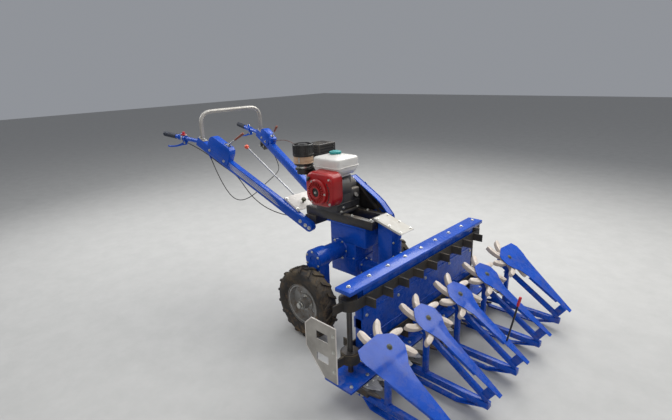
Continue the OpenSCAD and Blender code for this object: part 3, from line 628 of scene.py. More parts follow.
def grip(word, side):
    """A rubber sleeve: its rear end closed, ribs along it and a flange at its front."""
    profile = [(0, 0), (13, 0), (16.5, 1.5), (17.6, 4), (18, 8)]
    for k in range(GRIP_RIBS):
        h = 12 + 11.2 * k
        profile += [(18, h), (17.9, h + 6.5), (16.3, h + 7.5), (16.3, h + 10.2)]
    profile += [(18, 114), (18, 117), (17.2, 119), (18, 122), (18, 129), (17, 130), (14.1, 130), (14.1, 126)]
    made = bmesh.new()
    turned(made, profile, tube_place(side) @ Z_AHEAD, 36)
    piece("grip_sleeve_" + word, made, "grip_rubber", replaces=["grip_" + word], sharp=40)


def hoop():
    x, half, z_foot, z_top = -1108, 248, 1006, 1190
    made, tin = bmesh.new(), bmesh.new()
    corners = [(x, -half, z_foot), (x, -half, z_top), (x, half, z_top), (x, half, z_foot)]
    pipe(made, fillet(corners, 90, 14), 27, 28)
    weld = [(13, 0), (17, 0), (16, 3.4), (13.4, 5.6), (13, 0)]
    for _, side in SIDES:
        block(made, (6, 62), (-18, 18), (0.1, 4.5), 1.2, beam_place(side))
        turned(made, weld, move(x, side * half, 1011.5), 28)
        bolts(tin, [(12, 0, 4.4), (55, 0, 4.4)], UP, 11, beam_place(side))
    piece("grab_hoop", made, "grey_steel", replaces=["hoop"])
    piece("hoop_bolts", tin, "zinc")


def lever_box(tin, word, side, low, high, top):
    """A pressed box round the beam, with rims on both flanks and the bolts that clamp it."""
    made = bmesh.new()
    place = beam_place(side)
    back = [(low + 38 - 38 * math.sin(a), top - 46 + 46 * math.cos(a)) for a in sweep(math.pi / 2, 7)]
    front = [(low, -50), (high - 25, -50), (high, -25), (high, top - 35), (high - 7, top - 12),
             (high - 25, top)]
    bar(made, back + front, BEAM_W + 12, place, 3.0)
    for y in (-26.2, 24.2):
        panel(made, (low + 14, high - 14), (-40, 6), 2.0, [(low + 20, high - 20, -34, 0)],
              place @ move(0, y + 2, 0) @ Y_UP)
    for x in (low + 30, high - 38):
        bolt(tin, (x, -26, -20), RIGHT, 12, place)
        bolt(tin, (x, 26, -20), LEFT, 12, place)
    if side > 0:
        block(made, (184, 223), (-24, 24), (0.2, 46), 3, place)
        ferrule(made, THROTTLE_WAY[0], THROTTLE_WAY[1], 16, 9)
    piece("lever_box_shell_" + word, made, "blue_paint", replaces=["lever_box_" + word])


def lever_boxes():
    dark, tin = bmesh.new(), bmesh.new()
    lever_box(tin, "right", -1, 112, 325, 85)
    lever_box(tin, "left", 1, 66, 190, 58)
    # Flat dark patches painted as the shade in the slots that the levers move in, with steel quadrants beside
    # them
    for side, x, z, reach in ((-1, 268, 85, 26), (1, 192, 46, 13)):
        place = beam_place(side)
        block(dark, (x - reach, x + reach), (-5, 5), (z - 0.5, z + 0.4), 0.3, place, 1)
        quadrant = [(x - reach, z + 0.2), (x + reach, z + 0.2), (x + reach - 4, z + 5),
                    (x - reach + 4, z + 5)]
        for y in (-11, 11):
            bar(tin, quadrant, 2, place @ move(0, y, 0), 0.4)
    piece("lever_slot_shade", dark, "black_plastic")
    piece("lever_box_fittings", tin, "zinc")


# Side, foot, tip and length of the knob of the two quadrant levers, in the beams' places
LEVERS = ((-1, (268, 0, 85.2), (372, 0, 232), 97), (1, (192, 0, 46.2), (229, 0, 155), 60))


def levers():
    rods, knobs = bmesh.new(), bmesh.new()
    boss = [(0, 0), (11, 0), (11, 5), (9.5, 7.4), (7, 8), (0, 8)]
    for side, foot, tip, long in LEVERS:
        place = beam_place(side)
        foot, tip = Vector(foot), Vector(tip)
        way = (tip - foot).normalized()
        turned(rods, boss, place @ Matrix.Translation(foot), 28)
        pipe(rods, [foot + 5 * way, tip - (long - 4) * way], 9, 16, place)
        bolt(rods, foot + Vector((0, 0, 0.4)) + way * 12, LEFT, 8, place, 5, 5)
        knob = [(0, 0), (3.5, 0.2), (6.2, 1.6), (8.4, 4.8), (9, 8.5), (9, 15), (8.6, 20),
                (7.8, long * 0.45), (7, long * 0.72), (6.5, long - 6), (6.3, long - 3), (5.6, long - 0.4),
                (4.6, long), (0, long)]
        turned(knobs, knob, place @ pointing(tip, -way), 28)
    piece("lever_shafts", rods, "bright_steel", replaces=["lever_rods"])
    piece("lever_grips", knobs, "knob_brown", replaces=["lever_knobs"], sharp=50)


def gear_ball():
    """The shell and collar over the gear lever's ball; the lever keeps its rod."""
    ball, root, radius = Vector((-911, -33, 943)), Vector((-240, -38, 571)), 15.5
    profile = [(radius * math.sin(a), -radius * math.cos(a)) for a in sweep(math.pi, 20)[:19]]
    profile += [(7.6, 14.4), (7.4, 21), (6.6, 22), (5.55, 22), (5.55, 12)]
    made = bmesh.new()
    turned(made, profile, pointing(ball, (root - ball).normalized()), 36)
    piece("gear_ball", made, "knob_orange", sharp=50)


def hand_lever(blue, tin, side):
    """The clamp round a handle's tube, with its long curved blade."""
    place = tube_place(side)
    clamp = [(14.05, 160), (18.8, 160), (20, 161.4), (20, 172), (19.4, 173), (19.4, 222), (20, 223),
             (20, 233.6), (18.8, 235), (14.05, 235), (14.05, 160)]
    turned(blue, clamp, place @ Z_AHEAD, 36)
    block(blue, (205, 243), (-9, 9), (-42, -15), 2.2, place)
    blade = [(238, -20), (240, -32), (231, -46), (200, -54), (170, -64), (135, -75.6), (95, -85),
             (55, -92), (36, -93), (29.5, -89.5), (29, -84), (34, -80.6), (55, -80), (95, -73),
             (133, -62.5), (160, -52), (182, -41), (205, -30)]
    bar(blue, blade, 10, place, 2.0)
    bolt(tin, (226, -9.2, -30), RIGHT, 11, place)
    bolt(tin, (226, 9.2, -30), LEFT, 11, place)
    # Clamp ears with their bolt
    block(blue, (176, 200), (-6.5, 6.5), (14, 29), 2, place)
    bolt(tin, (188, -6.6, 22.5), RIGHT, 9, place)
    bolt(tin, (188, 6.6, 22.5), LEFT, 9, place)


def hand_levers():
    blue, tin = bmesh.new(), bmesh.new()
    for _, side in SIDES:
        hand_lever(blue, tin, side)
    # The adjuster that the clutch cable's end sits in, with its two nuts
    first, second = Vector(CLUTCH_WAY[0]), Vector(CLUTCH_WAY[1])
    ferrule(blue, first, second, 22, 10)
    way = (second - first).normalized()
    for reach in (-8, -3):
        turned(tin, [(5.2, 0), (8, 0), (8, 3.4), (5.2, 3.4), (5.2, 0)], pointing(first + reach * way, way), 6)
    piece("lever_mounts", blue, "blue_paint", replaces=["hand_levers"])
    piece("lever_mount_bolts", tin, "zinc")


def stop_switch():
    red, pale = bmesh.new(), bmesh.new()
    place = tube_place(-1)
    block(red, (196, 226), (-12, 12), (20.2, 29.2), 2.0, place)
    button = [(0, 20.2), (8.5, 20.2), (8.5, 34), (9.6, 35), (9.6, 41), (8.6, 43.4), (6, 44.2), (0, 44.2)]
    turned(red, button, place @ move(208, 0, 0), 32)
    piece("stop_button", red, "red_plastic", replaces=["stop_switch"])
    block(pale, (227, 238), (-6, 6), (20, 27), 1.4, place)
    strap = [(20.05, -3), (21.4, -3), (21.4, 3), (20.05, 3), (20.05, -3)]
    turned(pale, strap, place @ move(206, 0, 0) @ Z_AHEAD, 36)
    piece("switch_clip", pale, "white_paint")


def pivot_bracket(tin):
    """The block under the left beam that the link cable starts from."""
    made = bmesh.new()
    place = beam_place(1)
    block(made, (72, 142), (-17, 17), (-102, -60.2), 3, place)
    for y in (-1, 1):
        turned(made, [(0, 0), (13, 0), (13, 11), (11.4, 13), (0, 13)],
               place @ pointing((96, 17 * y, -84), (0, y, 0)), 28)
        bolt(tin, (96, 30 * y, -84), (0, y, 0), 13, place)
        bolt(tin, (128, 17 * y, -78), (0, y, 0), 9, place)
    ferrule(made, LINK_WAY[0], LINK_WAY[1], 24, 10)
    piece("pivot_bracket", made, "black_paint", replaces=["pivot_block"])


def return_spring():
    """A coil of eleven turns beside the bracket, hooked at both ends."""
    turns, steps = 11, 12
    count = turns * steps
    helix = [(56 - 46 * k / count, 24 + 5.5 * math.cos(math.tau * k / steps),
              -76 + 5.5 * math.sin(math.tau * k / steps)) for k in range(1, count + 1)]
    route = [(84, 24, -84), (70, 24, -80), (60, 29.5, -76), *helix, (4, 24, -72), (1, 24, -62)]
    made = bmesh.new()
    pipe(made, route, 1.8, 8, beam_place(1))
    piece("return_spring", made, "bright_steel")


def beam_lines():
    """Thin pale lines along the outer flank of the right beam."""
    made = bmesh.new()
    place = beam_place(-1) @ move(0, -19.95, 0)
    # Start, end, height and half width of each
    for start, end, z, high in ((308, 742, -11, 1.8), (318, 776, -20, 2.2), (330, 800, -29, 2.5),
                                (345, 822, -38.5, 3.0)):
        line = [(start, z - 0.3), (start + 60, z - high), (end - 40, z - high), (end, z + high),
                (start + 60, z + high), (start, z + 0.3)]
        bar(made, line, 0.6, place)
    piece("beam_lines", made, "white_paint")


def plate_knob():
    """The shift plate's knob: a short stem with a knurled head."""
    made = bmesh.new()
    place = move(-344, -44, beam_top(-344) + 13) @ turn_about("Y", BEAM_SLOPE)
    head = [(0, 0.2), (6, 0.2), (6, 14), (12.5, 14.4), (14, 16), (14, 27), (12.6, 29.4), (9, 30), (0, 30)]
    turned(made, head, place, 32)
    for station in round_about(place, 16):
        block(made, (13, 14.9), (-1.4, 1.4), (16, 27), 0.6, station, 1)
    piece("plate_knob_head", made, "knob_olive", replaces=["plate_knob"], sharp=45)


def beam_fittings():
    tin = bmesh.new()
    pivot_bracket(tin)
    return_spring()
    beam_lines()
    # Bolts where the beams are clamped to the cross member
    for _, side in SIDES:
        for x in (BEAM_LONG - 96, BEAM_LONG - 52, BEAM_LONG - 22):
            for y in (-1, 1):
                bolt(tin, (x, 20 * y, -30), (0, y, 0), 15, beam_place(side))
    piece("beam_bolts", tin, "zinc")
    plate_knob()


def shift_plate():
    made, tin = bmesh.new(), bmesh.new()
    place = facing((-420, 0, beam_top(-420) + 13), (BEAM_RUN, 0, -BEAM_DROP))
    long = 127 / math.cos(BEAM_SLOPE)
    block(made, (0, long), (-130, 130), (-3, 0), 0.8, place)
    for y in (-124, 124):
        bar(made, [(0, -12.8), (long, -12.8), (long, -2), (0, -2)], 12, place @ move(0, y, 0), 1)
    bolts(tin, [(x, y, 0) for x in (16, long - 16) for y in (-121, 121)], UP, 12, place)
    piece("shift_plate", made, "pale_paint", replaces=["gear_plate"])
    piece("shift_plate_bolts", tin, "zinc")


# Engine

CRANK = (-50, 785)
STARTER = (-38, 797)
CLEANER = (-260, -95)


def rounded_rectangle(half_x, half_y, corner):
    """Points round a rectangle with round corners, in XY about its middle."""
    steps = 7
    points = []
    for k, (sx, sy) in enumerate(((1, 1), (-1, 1), (-1, -1), (1, -1))):
        for j in range(steps + 1):
            a = math.pi / 2 * (k + j / steps)
            points.append((sx * (half_x - corner) + corner * math.cos(a),
                           sy * (half_y - corner) + corner * math.sin(a)))
    return points


# Height, how far in from the widest place, and radius of the corners, from the tank's floor to its crown
TANK_LEVELS = (
    (866.2, 42, 14), (866.6, 30, 18), (868.2, 22, 20), (872, 17.5, 22), (882, 10.5, 24), (893, 4.2, 26),
    (900, 1.4, 27), (907, 0.3, 27), (914, 0, 27), (930, 0, 26), (951, 0.2, 25), (956, 0.8, 24.5),
    (959.5, 2, 24), (962.2, 4, 23), (964.2, 7, 22), (966, 11.5, 21), (968.6, 20, 20), (971.8, 33, 18),
    (974.8, 47, 16), (977.2, 61, 14), (979, 74, 10), (979.8, 84, 6))
# Height and how far out, round the pinched seam
TANK_SEAM = ((910.8, -3), (911, 2.6), (911.9, 3.9), (913.6, 3.9), (914.2, 3.0), (914.8, 3.9), (916.4, 3.9),
             (917.2, 2.6), (917.4, -3))


def fuel_tank():
    """A blow-moulded tank: crowned top, rounded shoulders, a pinched seam all round, a tapered lower half."""
    half_x, half_y, middle_x, middle_y = 100, 94, -65, -24

    def loop(shape, z, shrink, corner):
        outline = rounded_rectangle(half_x - shrink, half_y - shrink, corner)
        return [shape.verts.new((middle_x + x, middle_y + y, z)) for x, y in outline]

    made = bmesh.new()
    shape = bmesh.new()
    loops = [loop(shape, *level) for level in TANK_LEVELS]
    band(shape, loops)
    shape.faces.new(loops[0][::-1])
    shape.faces.new(loops[-1])
    add_shape(made, shape)
    shape = bmesh.new()
    lips = [loop(shape, z, -out, 28) for z, out in TANK_SEAM]
    band(shape, lips + [lips[0]])
    add_shape(made, shape)
    for x in (-135, -15):
        block(made, (x, x + 16), (-70, 20), (855.3, 873), 1.5)
    piece("fuel_tank_shell", made, "tank_white", replaces=["fuel_tank"], sharp=36)


def fuel_tap():
    made = bmesh.new()
    profile = [(0, 0), (9, 0), (9, 5), (6.5, 7), (6.5, 22), (8.5, 24), (8.5, 30), (0, 30)]
    turned(made, profile, move(-60, -90, 838), 24)
    piece("tank_fittings", made, "zinc")


def tank_cap():
    made = bmesh.new()
    place = move(-68, -22, 980)
    crown = [(0, -2), (32, -2), (32, 11), (30.6, 12.8), (23, 13.3), (22, 14), (21, 15.6), (0, 16)]
    turned(made, crown, place, 48)
    for station in round_about(place, 24):
        block(made, (30, 34.4), (-3, 3), (0.2, 11.6), 1.2, station, 1)
    block(made, (-18, 18), (-4, 4), (12.5, 16), 1.4, place @ turn_about("Z", 0.6))
    piece("tank_cap_ribbed", made, "cap_teal", replaces=["tank_cap"], sharp=40)


def cleaner_base():
    made = bmesh.new()
    place = move(*CLEANER, 852)
    profile = [(0, 0), (38, 0), (42, 4), (42, 25), (46, 26), (51, 27), (52, 30), (51, 33.5), (43, 34.5),
               (42, 37), (43, 50), (50, 54), (54.5, 55.5), (55, 57.5), (55, 66.5), (0, 67)]
    turned(made, profile, place, 56)
    block(made, (-22, 72), (20, 44.8), (8, 40), 4, place)
    piece("cleaner_base_shell", made, "black_plastic", replaces=["air_cleaner_base"], sharp=40)


def cleaner_bowl():
    made = bmesh.new()
    profile = [(0, 0.2), (59, 0.2), (60, 1.2), (60, 4), (59, 5), (57.6, 5.6), (57.6, 12), (58, 14),
               (58, 22), (57.6, 24), (57.6, 34), (58, 36), (58, 39), (0, 39)]
    turned(made, profile, move(*CLEANER, 919), 64)
    piece("cleaner_bowl_shell", made, "pale_plastic", replaces=["air_cleaner_bowl"], sharp=40)


def cleaner_cap():
    """A ribbed drum whose open top shows a well with six webs round its middle."""
    made = bmesh.new()
    place = move(*CLEANER, 958)
    profile = [(0, 0.2), (58, 0.2), (59.3, 1.5), (59.3, 7), (62, 8.2), (62.2, 11.5), (62, 14.6),
               (59.4, 15.8), (59.2, 38), (59.2, 60.4), (61.6, 62), (62, 65), (61.2, 68.4), (59, 71),
               (56.5, 72), (54.5, 71.6), (53, 69.6), (52.4, 58.6), (29, 58.4), (28, 60), (27.2, 69.5),
               (25.5, 71.6), (23, 72), (9, 71.4), (0, 71.2)]
    turned(made, profile, place, 72)
    for station in round_about(place, 30):
        block(made, (58.4, 60.6), (-1.6, 1.6), (17, 60), 0.7, station, 1)
    for station in round_about(place, 6, 0.3):
        block(made, (28, 53), (-1.2, 1.2), (57, 69), 0.5, station, 1)
    piece("cleaner_cap_shell", made, "black_plastic", replaces=["air_cleaner_cap"], sharp=40)


def cleaner_clamp():
    """A clamp band with its screw, and three clips over the pale bowl."""
    made = bmesh.new()
    place = move(*CLEANER, 852)
    turned(made, [(42.1, 39), (43.4, 39), (43.4, 48), (42.1, 48), (42.1, 39)], place, 48)
    block(made, (-8, 8), (-50, -42.5), (40, 47), 1, place)
    rod(made, (-271, -142, 895), (-249, -142, 895), 4)
    for angle in (0.9, 3.0, 5.1):
        block(made, (57.9, 59.6), (-5, 5), (6, 37), 0.6, move(*CLEANER, 919) @ turn_about("Z", angle), 1)
    piece("cleaner_clamp", made, "zinc")


def fan_housing():
    """Its outline with softened corners, drawn towards the starter in a wall and a round shoulder."""
    x0, x1, z0, z1 = -143, 70, 708, 905
    outline = [(x0 + 52, z0), (x1 - 45, z0 + 3), (x1 - 12, z0 + 24), (x1, z0 + 50), (x1, z1 - 34),
               (x1 - 10, z1 - 10), (x1 - 32, z1), (x0 + 42, z1), (x0 + 12, z1 - 18), (x0, z1 - 48),
               (x0, z0 + 52), (x0 + 16, z0 + 20)]
    shape = bmesh.new()
    fill(shape, [(x, -118.2, z) for x, z in outline])
    bmesh.ops.bevel(shape, geom=shape.verts[:], offset=14, offset_type="OFFSET", segments=4, profile=0.5,
                    affect="VERTICES", material=-1)
    outer = [v.co.copy() for v in next(iter(shape.faces)).verts]
    shape.free()
    shape = bmesh.new()
    x_mid, z_mid = STARTER
    loops = []
    for y, shrink in ((-118.4, 0), (-122, 0), (-122.5, 1.5), (-178, 2.5), (-186, 3.6), (-193, 6.8),
                      (-198, 12), (-200, 19)):
        away = [Vector((co.x - x_mid, 0, co.z - z_mid)) for co in outer]
        loops.append([shape.verts.new(Vector((x_mid, y, z_mid)) + a * (1 - shrink / a.length)) for a in away])
    band(shape, loops)
    shape.faces.new(loops[0])
    shape.faces.new(loops[-1][::-1])
    made = bmesh.new()
    add_shape(made, shape)
    # A raised round seat for the recoil cover
    seat = [(76, -6), (76, 0.05), (74.5, 0.3), (73, 0.3), (73, -6), (76, -6)]
    turned(made, seat, pointing((x_mid, -200.05, z_mid), RIGHT), 64)
    piece("fan_housing_shell", made, "red_paint", replaces=["fan_housing"], sharp=36)


def housing_slot_shade():
    """Flat dark patches beside the starter, painted as the shade inside its slots, each with a red lip."""
    made, lips = bmesh.new(), bmesh.new()
    for degrees in range(-36, 37, 12):
        place = move(STARTER[0], 0, STARTER[1]) @ turn_about("Y", math.radians(degrees))
        block(made, (79.5, 88.5), (-200.3, -199), (-7.5, 7.5), 0.6, place, 1)
        block(lips, (78.4, 80.2), (-201.6, -199), (-7.8, 7.8), 0.7, place, 1)
    piece("housing_slot_shade", made, "black_plastic")
    piece("housing_lips", lips, "red_paint")


def housing_bolts():
    made = bmesh.new()
    corners = ((-122, 866), (46, 874), (-118, 742), (46, 738))
    bolts(made, [(x, -197.5, z) for x, z in corners], RIGHT, 10)
    piece("housing_bolts", made, "zinc")


def recoil_cover():
    """A dished cover with spokes and a hub ring, its dark rope reel behind, and the bolts in it."""
    place = pointing((STARTER[0], -200.4, STARTER[1]), RIGHT)
    made = bmesh.new()
    dish = [(25, 0), (72, 0), (72, 9), (70.8, 12.5), (67.5, 15.4), (62.5, 17.6), (59, 18.4), (59, 11),
            (35, 11), (35, 23), (32.8, 23.9), (28, 24), (25.6, 22.6), (25, 19.5), (25, 0)]
    turned(made, dish, place, 80)
    for station in round_about(place, 24, math.tau / 48):
        block(made, (34, 60), (-2.5, 2.5), (9, 20.2), 0.9, station, 1)
    lugs = round_about(place, 3, 0.5)
    for lug in lugs:
        disc(made, 9, 0, 4, lug @ move(65.5, 0, 12), 16)
    piece("recoil_cover_shell", made, "red_paint", replaces=["recoil_cover"], sharp=38)
    made = bmesh.new()
    hub = [(0, 20.2), (10, 20.4), (16, 20), (17.4, 18.6), (21, 18.2), (25.1, 18), (25.1, 2), (0, 2)]
    turned(made, hub, place, 48)
    turned(made, [(25, 6), (59, 6), (59, 9), (25, 9), (25, 6)], place, 48)
    piece("recoil_hub", made, "black_plastic")
    made = bmesh.new()
    for lug in lugs:
        bolt(made, lug @ Vector((65.5, 0, 15.6)), RIGHT, 8)
    bolt(made, place @ Vector((0, 0, 20)), RIGHT, 9)
    piece("recoil_bolts", made, "zinc")


def pull_handle():
    made = bmesh.new()
    rod(made, (-118, -206, 850), (-98, -206, 872), 13, 15, edge=2.5)
    piece("pull_handle", made, "black_plastic")


# The cylinder lies back from the crank: its axis is the X of this place, raised 25 degrees at the rear
LEAN = move(CRANK[0], 0, CRANK[1]) @ turn_about("Y", math.radians(25))


def crankcase(made):
    x0, x1 = -150, 20
    block(made, (x0 - 12, x1 + 12), (-98, 73), (650, 664), 2.5)
    block(made, (x0, x1), (-118, 85), (663, 780), 12, segments=4)
    turned(made, [(0, 0), (75, 0), (75, 117), (72, 120), (0, 120)], pointing((-50, -110, 785), LEFT), 64)
    turned(made, [(0, 0), (46, 0), (46, 82), (43.5, 84.9), (0, 84.9)], pointing((-50, 0, 785), LEFT), 56)
    # Ribs over the crankcase's front, and its flange
    rib = [(x1 - 8, 690), (x1, 690), (x1, 764), (x1 - 8, 784), (0, 790), (-12, 780)]
    for y in (-96, -60, -24, 6):
        bar(made, rib, 5, move(0, y, 0), 1.5)
    block(made, (x0 - 4, x1 + 4), (-113, 80), (703, 709), 2)


def cylinder(made):
    """The leaning block with its fins, the head with its own, and the valve cover."""
    block(made, (-130, -40), (-38, 60), (-50, 28), 6, LEAN)
    for x in range(-72, -136, -9):
        block(made, (x - 4, x), (-48, 72), (-58, 27), 1.4, LEAN, 1)
    block(made, (-178, -141), (-50, 70), (-56, 30), 4, LEAN)
    block(made, (-142, -128), (-38, 60), (-50, 28), 2, LEAN)
    for z in (-40, -24, -8, 8):
        block(made, (-174, -144), (-52.5, 72), (z - 1.5, z + 1.5), 0.8, LEAN, 1)
    block(made, (-205, -177), (-32, 56), (-48, 22), 7, LEAN, 3)


def engine_castings():
    made = bmesh.new()
    crankcase(made)
    cylinder(made)
    # Brackets that carry the tank, and the plate between carburettor and cleaner
    for x in (-135, -15):
        block(made, (x, x + 6), (-70, 40), (770, 855), 1.5)
        block(made, (x, x + 16), (-64, 14), (849, 855.1), 1.2)
    block(made, (-300, -225), (-32, -24), (862, 882), 1.6)
    ferrule(made, THROTTLE_WAY[-1], THROTTLE_WAY[-2], 20, 9)
    piece("engine_castings", made, "engine_alloy", replaces=["engine_block"], sharp=38)


def engine_bolts():
    """Bolts of the valve cover, the head, the side cover and the feet, and the drain plug."""
    tin = bmesh.new()
    bolts(tin, [(-205.2, y, z) for y in (-24, 48) for z in (-40, 14)], BACK, 9, LEAN)
    bolts(tin, [(-178.1, y, z) for y in (-43, 63) for z in (-48, 22)], BACK, 11, LEAN)
    # Two of the side cover's eight stations, low at its rear, have no bolt
    for k, (x, z) in enumerate(circle(38, 8, math.tau / 16)):
        if k not in (4, 5):
            bolt(tin, (CRANK[0] + x, 84.9, CRANK[1] + z), LEFT, 9)
    bolts(tin, [(x, y, 664) for x in (-150, 24) for y in (-84, 58)], UP, 13)
    bolt(tin, (20.2, -60, 682), AHEAD, 13)
    piece("engine_bolts", tin, "zinc")


def plug_and_filler():
    """The oil filler's plain cap, the spark plug's cap, and its lead back to the coil under the housing."""
    made = bmesh.new()
    cap = [(0, 0), (11, 0), (11, 6), (15, 7), (16, 9), (16, 17), (14, 19), (0, 19.5)]
    turned(made, cap, pointing((15, 40, 730), (0.8, 0, 0.6)), 28)
    plug = LEAN @ Vector((-178, -50, -4))
    way = LEAN.to_3x3() @ Vector((-0.35, -1, 0)).normalized()
    boot = [(0, -2), (9, -2), (9, 12), (11, 14), (11, 34), (8, 38), (0, 38)]
    turned(made, boot, pointing(plug, way), 24)
    lead = [plug + way * 30, plug + way * 52, (-226, -110, 812), (-170, -112, 776), (-146, -112, 770)]
    pipe(made, fillet(lead, 26, 5), 7, 12)
    piece("plug_and_filler", made, "black_plastic")


def fuel_hose():
    """The hose from the tap under the tank to the carburettor."""
    made = bmesh.new()
    way = [(-60, -90, 842), (-72, -98, 826), (-130, -100, 826), (-196, -82, 842), (-226, -60, 868)]
    pipe(made, fillet(way, 24, 6), 8, 14)
    piece("fuel_hose", made, "belt_rubber")


def carburettor():
    """Between head and cleaner: body, float bowl and the screw on top."""
    made = bmesh.new()
    block(made, (-252, -206), (-46, -28), (866, 900), 3)
    turned(made, [(0, 0), (17, 0), (17, 20), (15, 22), (0, 22)], move(-229, -37, 846), 28)
    turned(made, [(0, 0), (4, 0), (4, 12), (7, 12), (7, 16), (0, 16)], move(-229, -37, 900), 18)
    piece("carburettor", made, "grey_steel")


def muffler():
    """The silencer's body, with a slotted guard round it, and its pipe from the head."""
    x0, x1, y0, y1, z0, z1 = -360, -240, 14, 160, 908, 1008
    sheet = 2.5
    made, tin = bmesh.new(), bmesh.new()
    block(made, (x0 + 6, x1 - 6), (y0 + 6, y1 - 6), (z0 + 6, z1 - 6), 12, segments=3)
    slots = [(x, x + 8, 14, 132) for x in range(14, 104, 16)]
    panel(made, (3, 117), (3, 143), sheet, slots, move(x0, y0, z1 - sheet))
    heights = [(z, z + 8) for z in range(15, 80, 16)]
    for x in (x0, x1 - sheet):
        upright = Matrix(((0, 0, 1, x), (1, 0, 0, y0), (0, 1, 0, z0), (0, 0, 0, 1)))
        panel(made, (3, 143), (0, 97), sheet, [(14, 132, *pair) for pair in heights], upright)
    for y in (y0, y1 - sheet):
        upright = Matrix(((1, 0, 0, x0), (0, 0, 1, y), (0, 1, 0, z0), (0, 0, 0, 1)))
        panel(made, (3, 117), (0, 97), sheet, [(14, 106, *pair) for pair in heights], upright)
    # Rounded edges of the guard, and its floor
    xs, ys, z = (x0 + 3, x1 - 3), (y0 + 3, y1 - 3), z1 - 3
    edges = [[(xs[0], y, z), (xs[1], y, z)] for y in ys] + [[(x, ys[0], z), (x, ys[1], z)] for x in xs]
    edges += [[(x, y, z0), (x, y, z)] for x in xs for y in ys]
    for edge in edges:
        pipe(made, edge, 6, 14)
    block(made, (x0 + 1, x1 - 1), (y0 + 1, y1 - 1), (z0, z0 + 7), 2)
    pipe(made, fillet([(-268, 88, 910), (-268, 88, 858), (-190, 85, 856)], 26, 8), 30, 24)
    block(made, (-285, -250), (70.2, 105), (900, 909), 3)
    piece("muffler_guarded", made, "black_paint", replaces=["muffler"])
    for x in (x0 + 20, x1 - 20):
        bolt(tin, (x, y1 + 0.1, z0 + 8), LEFT, 8)
        bolt(tin, (x, y0 - 0.1, z0 + 8), RIGHT, 8)
    bolts(tin, [(-280, 78, 900), (-256, 98, 900)], DOWN, 8)
    # The tail pipe stub
    pipe(tin, [(x0 + 6, 126, 986), (x0 - 4, 126, 986)], 20, 20)
    piece("muffler_bolts", tin, "dark_steel")


# Belt guard and running gear

AXLE_Z = 204
SHAFT_Z = 435
WHEEL_R = 204
HALF_TRACK = 360


def guard_bolts():
    """Bolts of the belt guard, and those on the engine rails."""
    tin = bmesh.new()
    corners = ((-112, 730), (-88, 800), (20, 786), (150, 690), (222, 620), (222, 510), (110, 462), (-60, 640))
    bolts(tin, [(x, 137, z) for x, z in corners], LEFT, 11)
    bolts(tin, [(x, y, 650) for y in (-70, 70) for x in (-238, -60, 90, 226)], UP, 13)
    piece("guard_bolts", tin, "zinc")


def guard_inside_shade():
    """A black sheet inside the guard's outer wall, clear of the open vents: painted shade for the guard's
    shadowed inside.
    """
    made = bmesh.new()
    outline = [(-130, 758), (-109, 802), (-52, 821), (118, 722), (160, 693), (220, 630), (226, 612),
               (130, 655), (58, 622), (44, 522), (80, 470), (-124, 702)]
    bar(made, outline, 0.8, move(0, 133.4, 0))
    piece("guard_inside_shade", made, "black_paint")


def guard_edges():
    """Rolled edges of the guard, and round the opening in its outer wall."""
    made = bmesh.new()
    rim = [(-138, 762), (-112, 808), (-52, 828), (123, 727), (165, 698), (228, 635), (236, 605), (236, 505),
           (165, 445), (90, 450), (-132, 700), (-138, 762)]
    for y, thick in ((94, 7), (134.5, 6)):
        pipe(made, fillet([(x, y, z) for x, z in rim], 6, 2), thick, 10)
    window = [(60, 520), (150, 470), (205, 520), (205, 590), (130, 640), (70, 610), (60, 520)]
    pipe(made, fillet([(x, 137, z) for x, z in window], 4, 2), 4, 8)
    piece("guard_edges", made, "blue_paint")


def case_covers(word, side):
    """The two round covers on a side case, at the axle and at the shaft, with the case's bolts."""
    made, tin = bmesh.new(), bmesh.new()
    flip = Matrix.Diagonal((1, side, 1, 1))
    for z, r in ((AXLE_Z, 62), (SHAFT_Z, 60)):
        cover = [(20, 0), (r - 4, 0), (r - 4, 3), (r - 6, 5), (24, 5), (20, 4), (20, 0)]
        turned(made, cover, flip @ pointing((0, 298, z), LEFT), 56)
        bolts(tin, [(x, side * 303, z + up) for x, up in circle(r - 11, 6, math.tau / 12)], (0, side, 0), 9)
    bolts(tin, [(x, side * 298, z) for z in (262, 290, 348, 376) for x in (-44, 44)], (0, side, 0), 9)
    piece("case_covers_" + word, made, "blue_paint")
    piece("case_bolts_" + word, tin, "zinc")


def side_cases():
    for word, side in SIDES:
        case_covers(word, side)


def gear_case():
    """The gearbox with its flanges, and the cross tube through it."""
    made, tin = bmesh.new(), bmesh.new()
    block(made, (-75, 120), (-80, 80), (285, 495), 9, segments=3)
    block(made, (-75, 195), (-80, 80), (475, 590), 9, segments=3)
    block(made, (-90, 205), (-90, 90), (590, 600), 2)
    block(made, (-81, 126), (-86, 86), (388, 396), 2)
    disc(made, 50, 0, 460, pointing((0, -230, SHAFT_Z), LEFT), 56)
    for y in (-230, 212):
        disc(made, 58, 0, 18, pointing((0, y, SHAFT_Z), LEFT), 56)
    flange = [(0, 0), (64, 0), (64, 8), (60, 12), (0, 12)]
    for _, side in SIDES:
        turned(made, flange, pointing((0, side * 79, SHAFT_Z), (0, side, 0)), 56)
        bolts(tin, [(x, side * 90.8, SHAFT_Z + up) for x, up in circle(57, 6)], (0, side, 0), 9)
        bolts(tin, [(x, side * 77, 396) for x in (-60, 22, 104)], UP, 11)
    bolts(tin, [(-75, y, z) for y in (-50, 0, 50) for z in (310, 350, 430, 470)], BACK, 10)
    piece("gear_case", made, "blue_paint", replaces=["gearbox"])
    piece("gear_case_bolts", tin, "zinc")


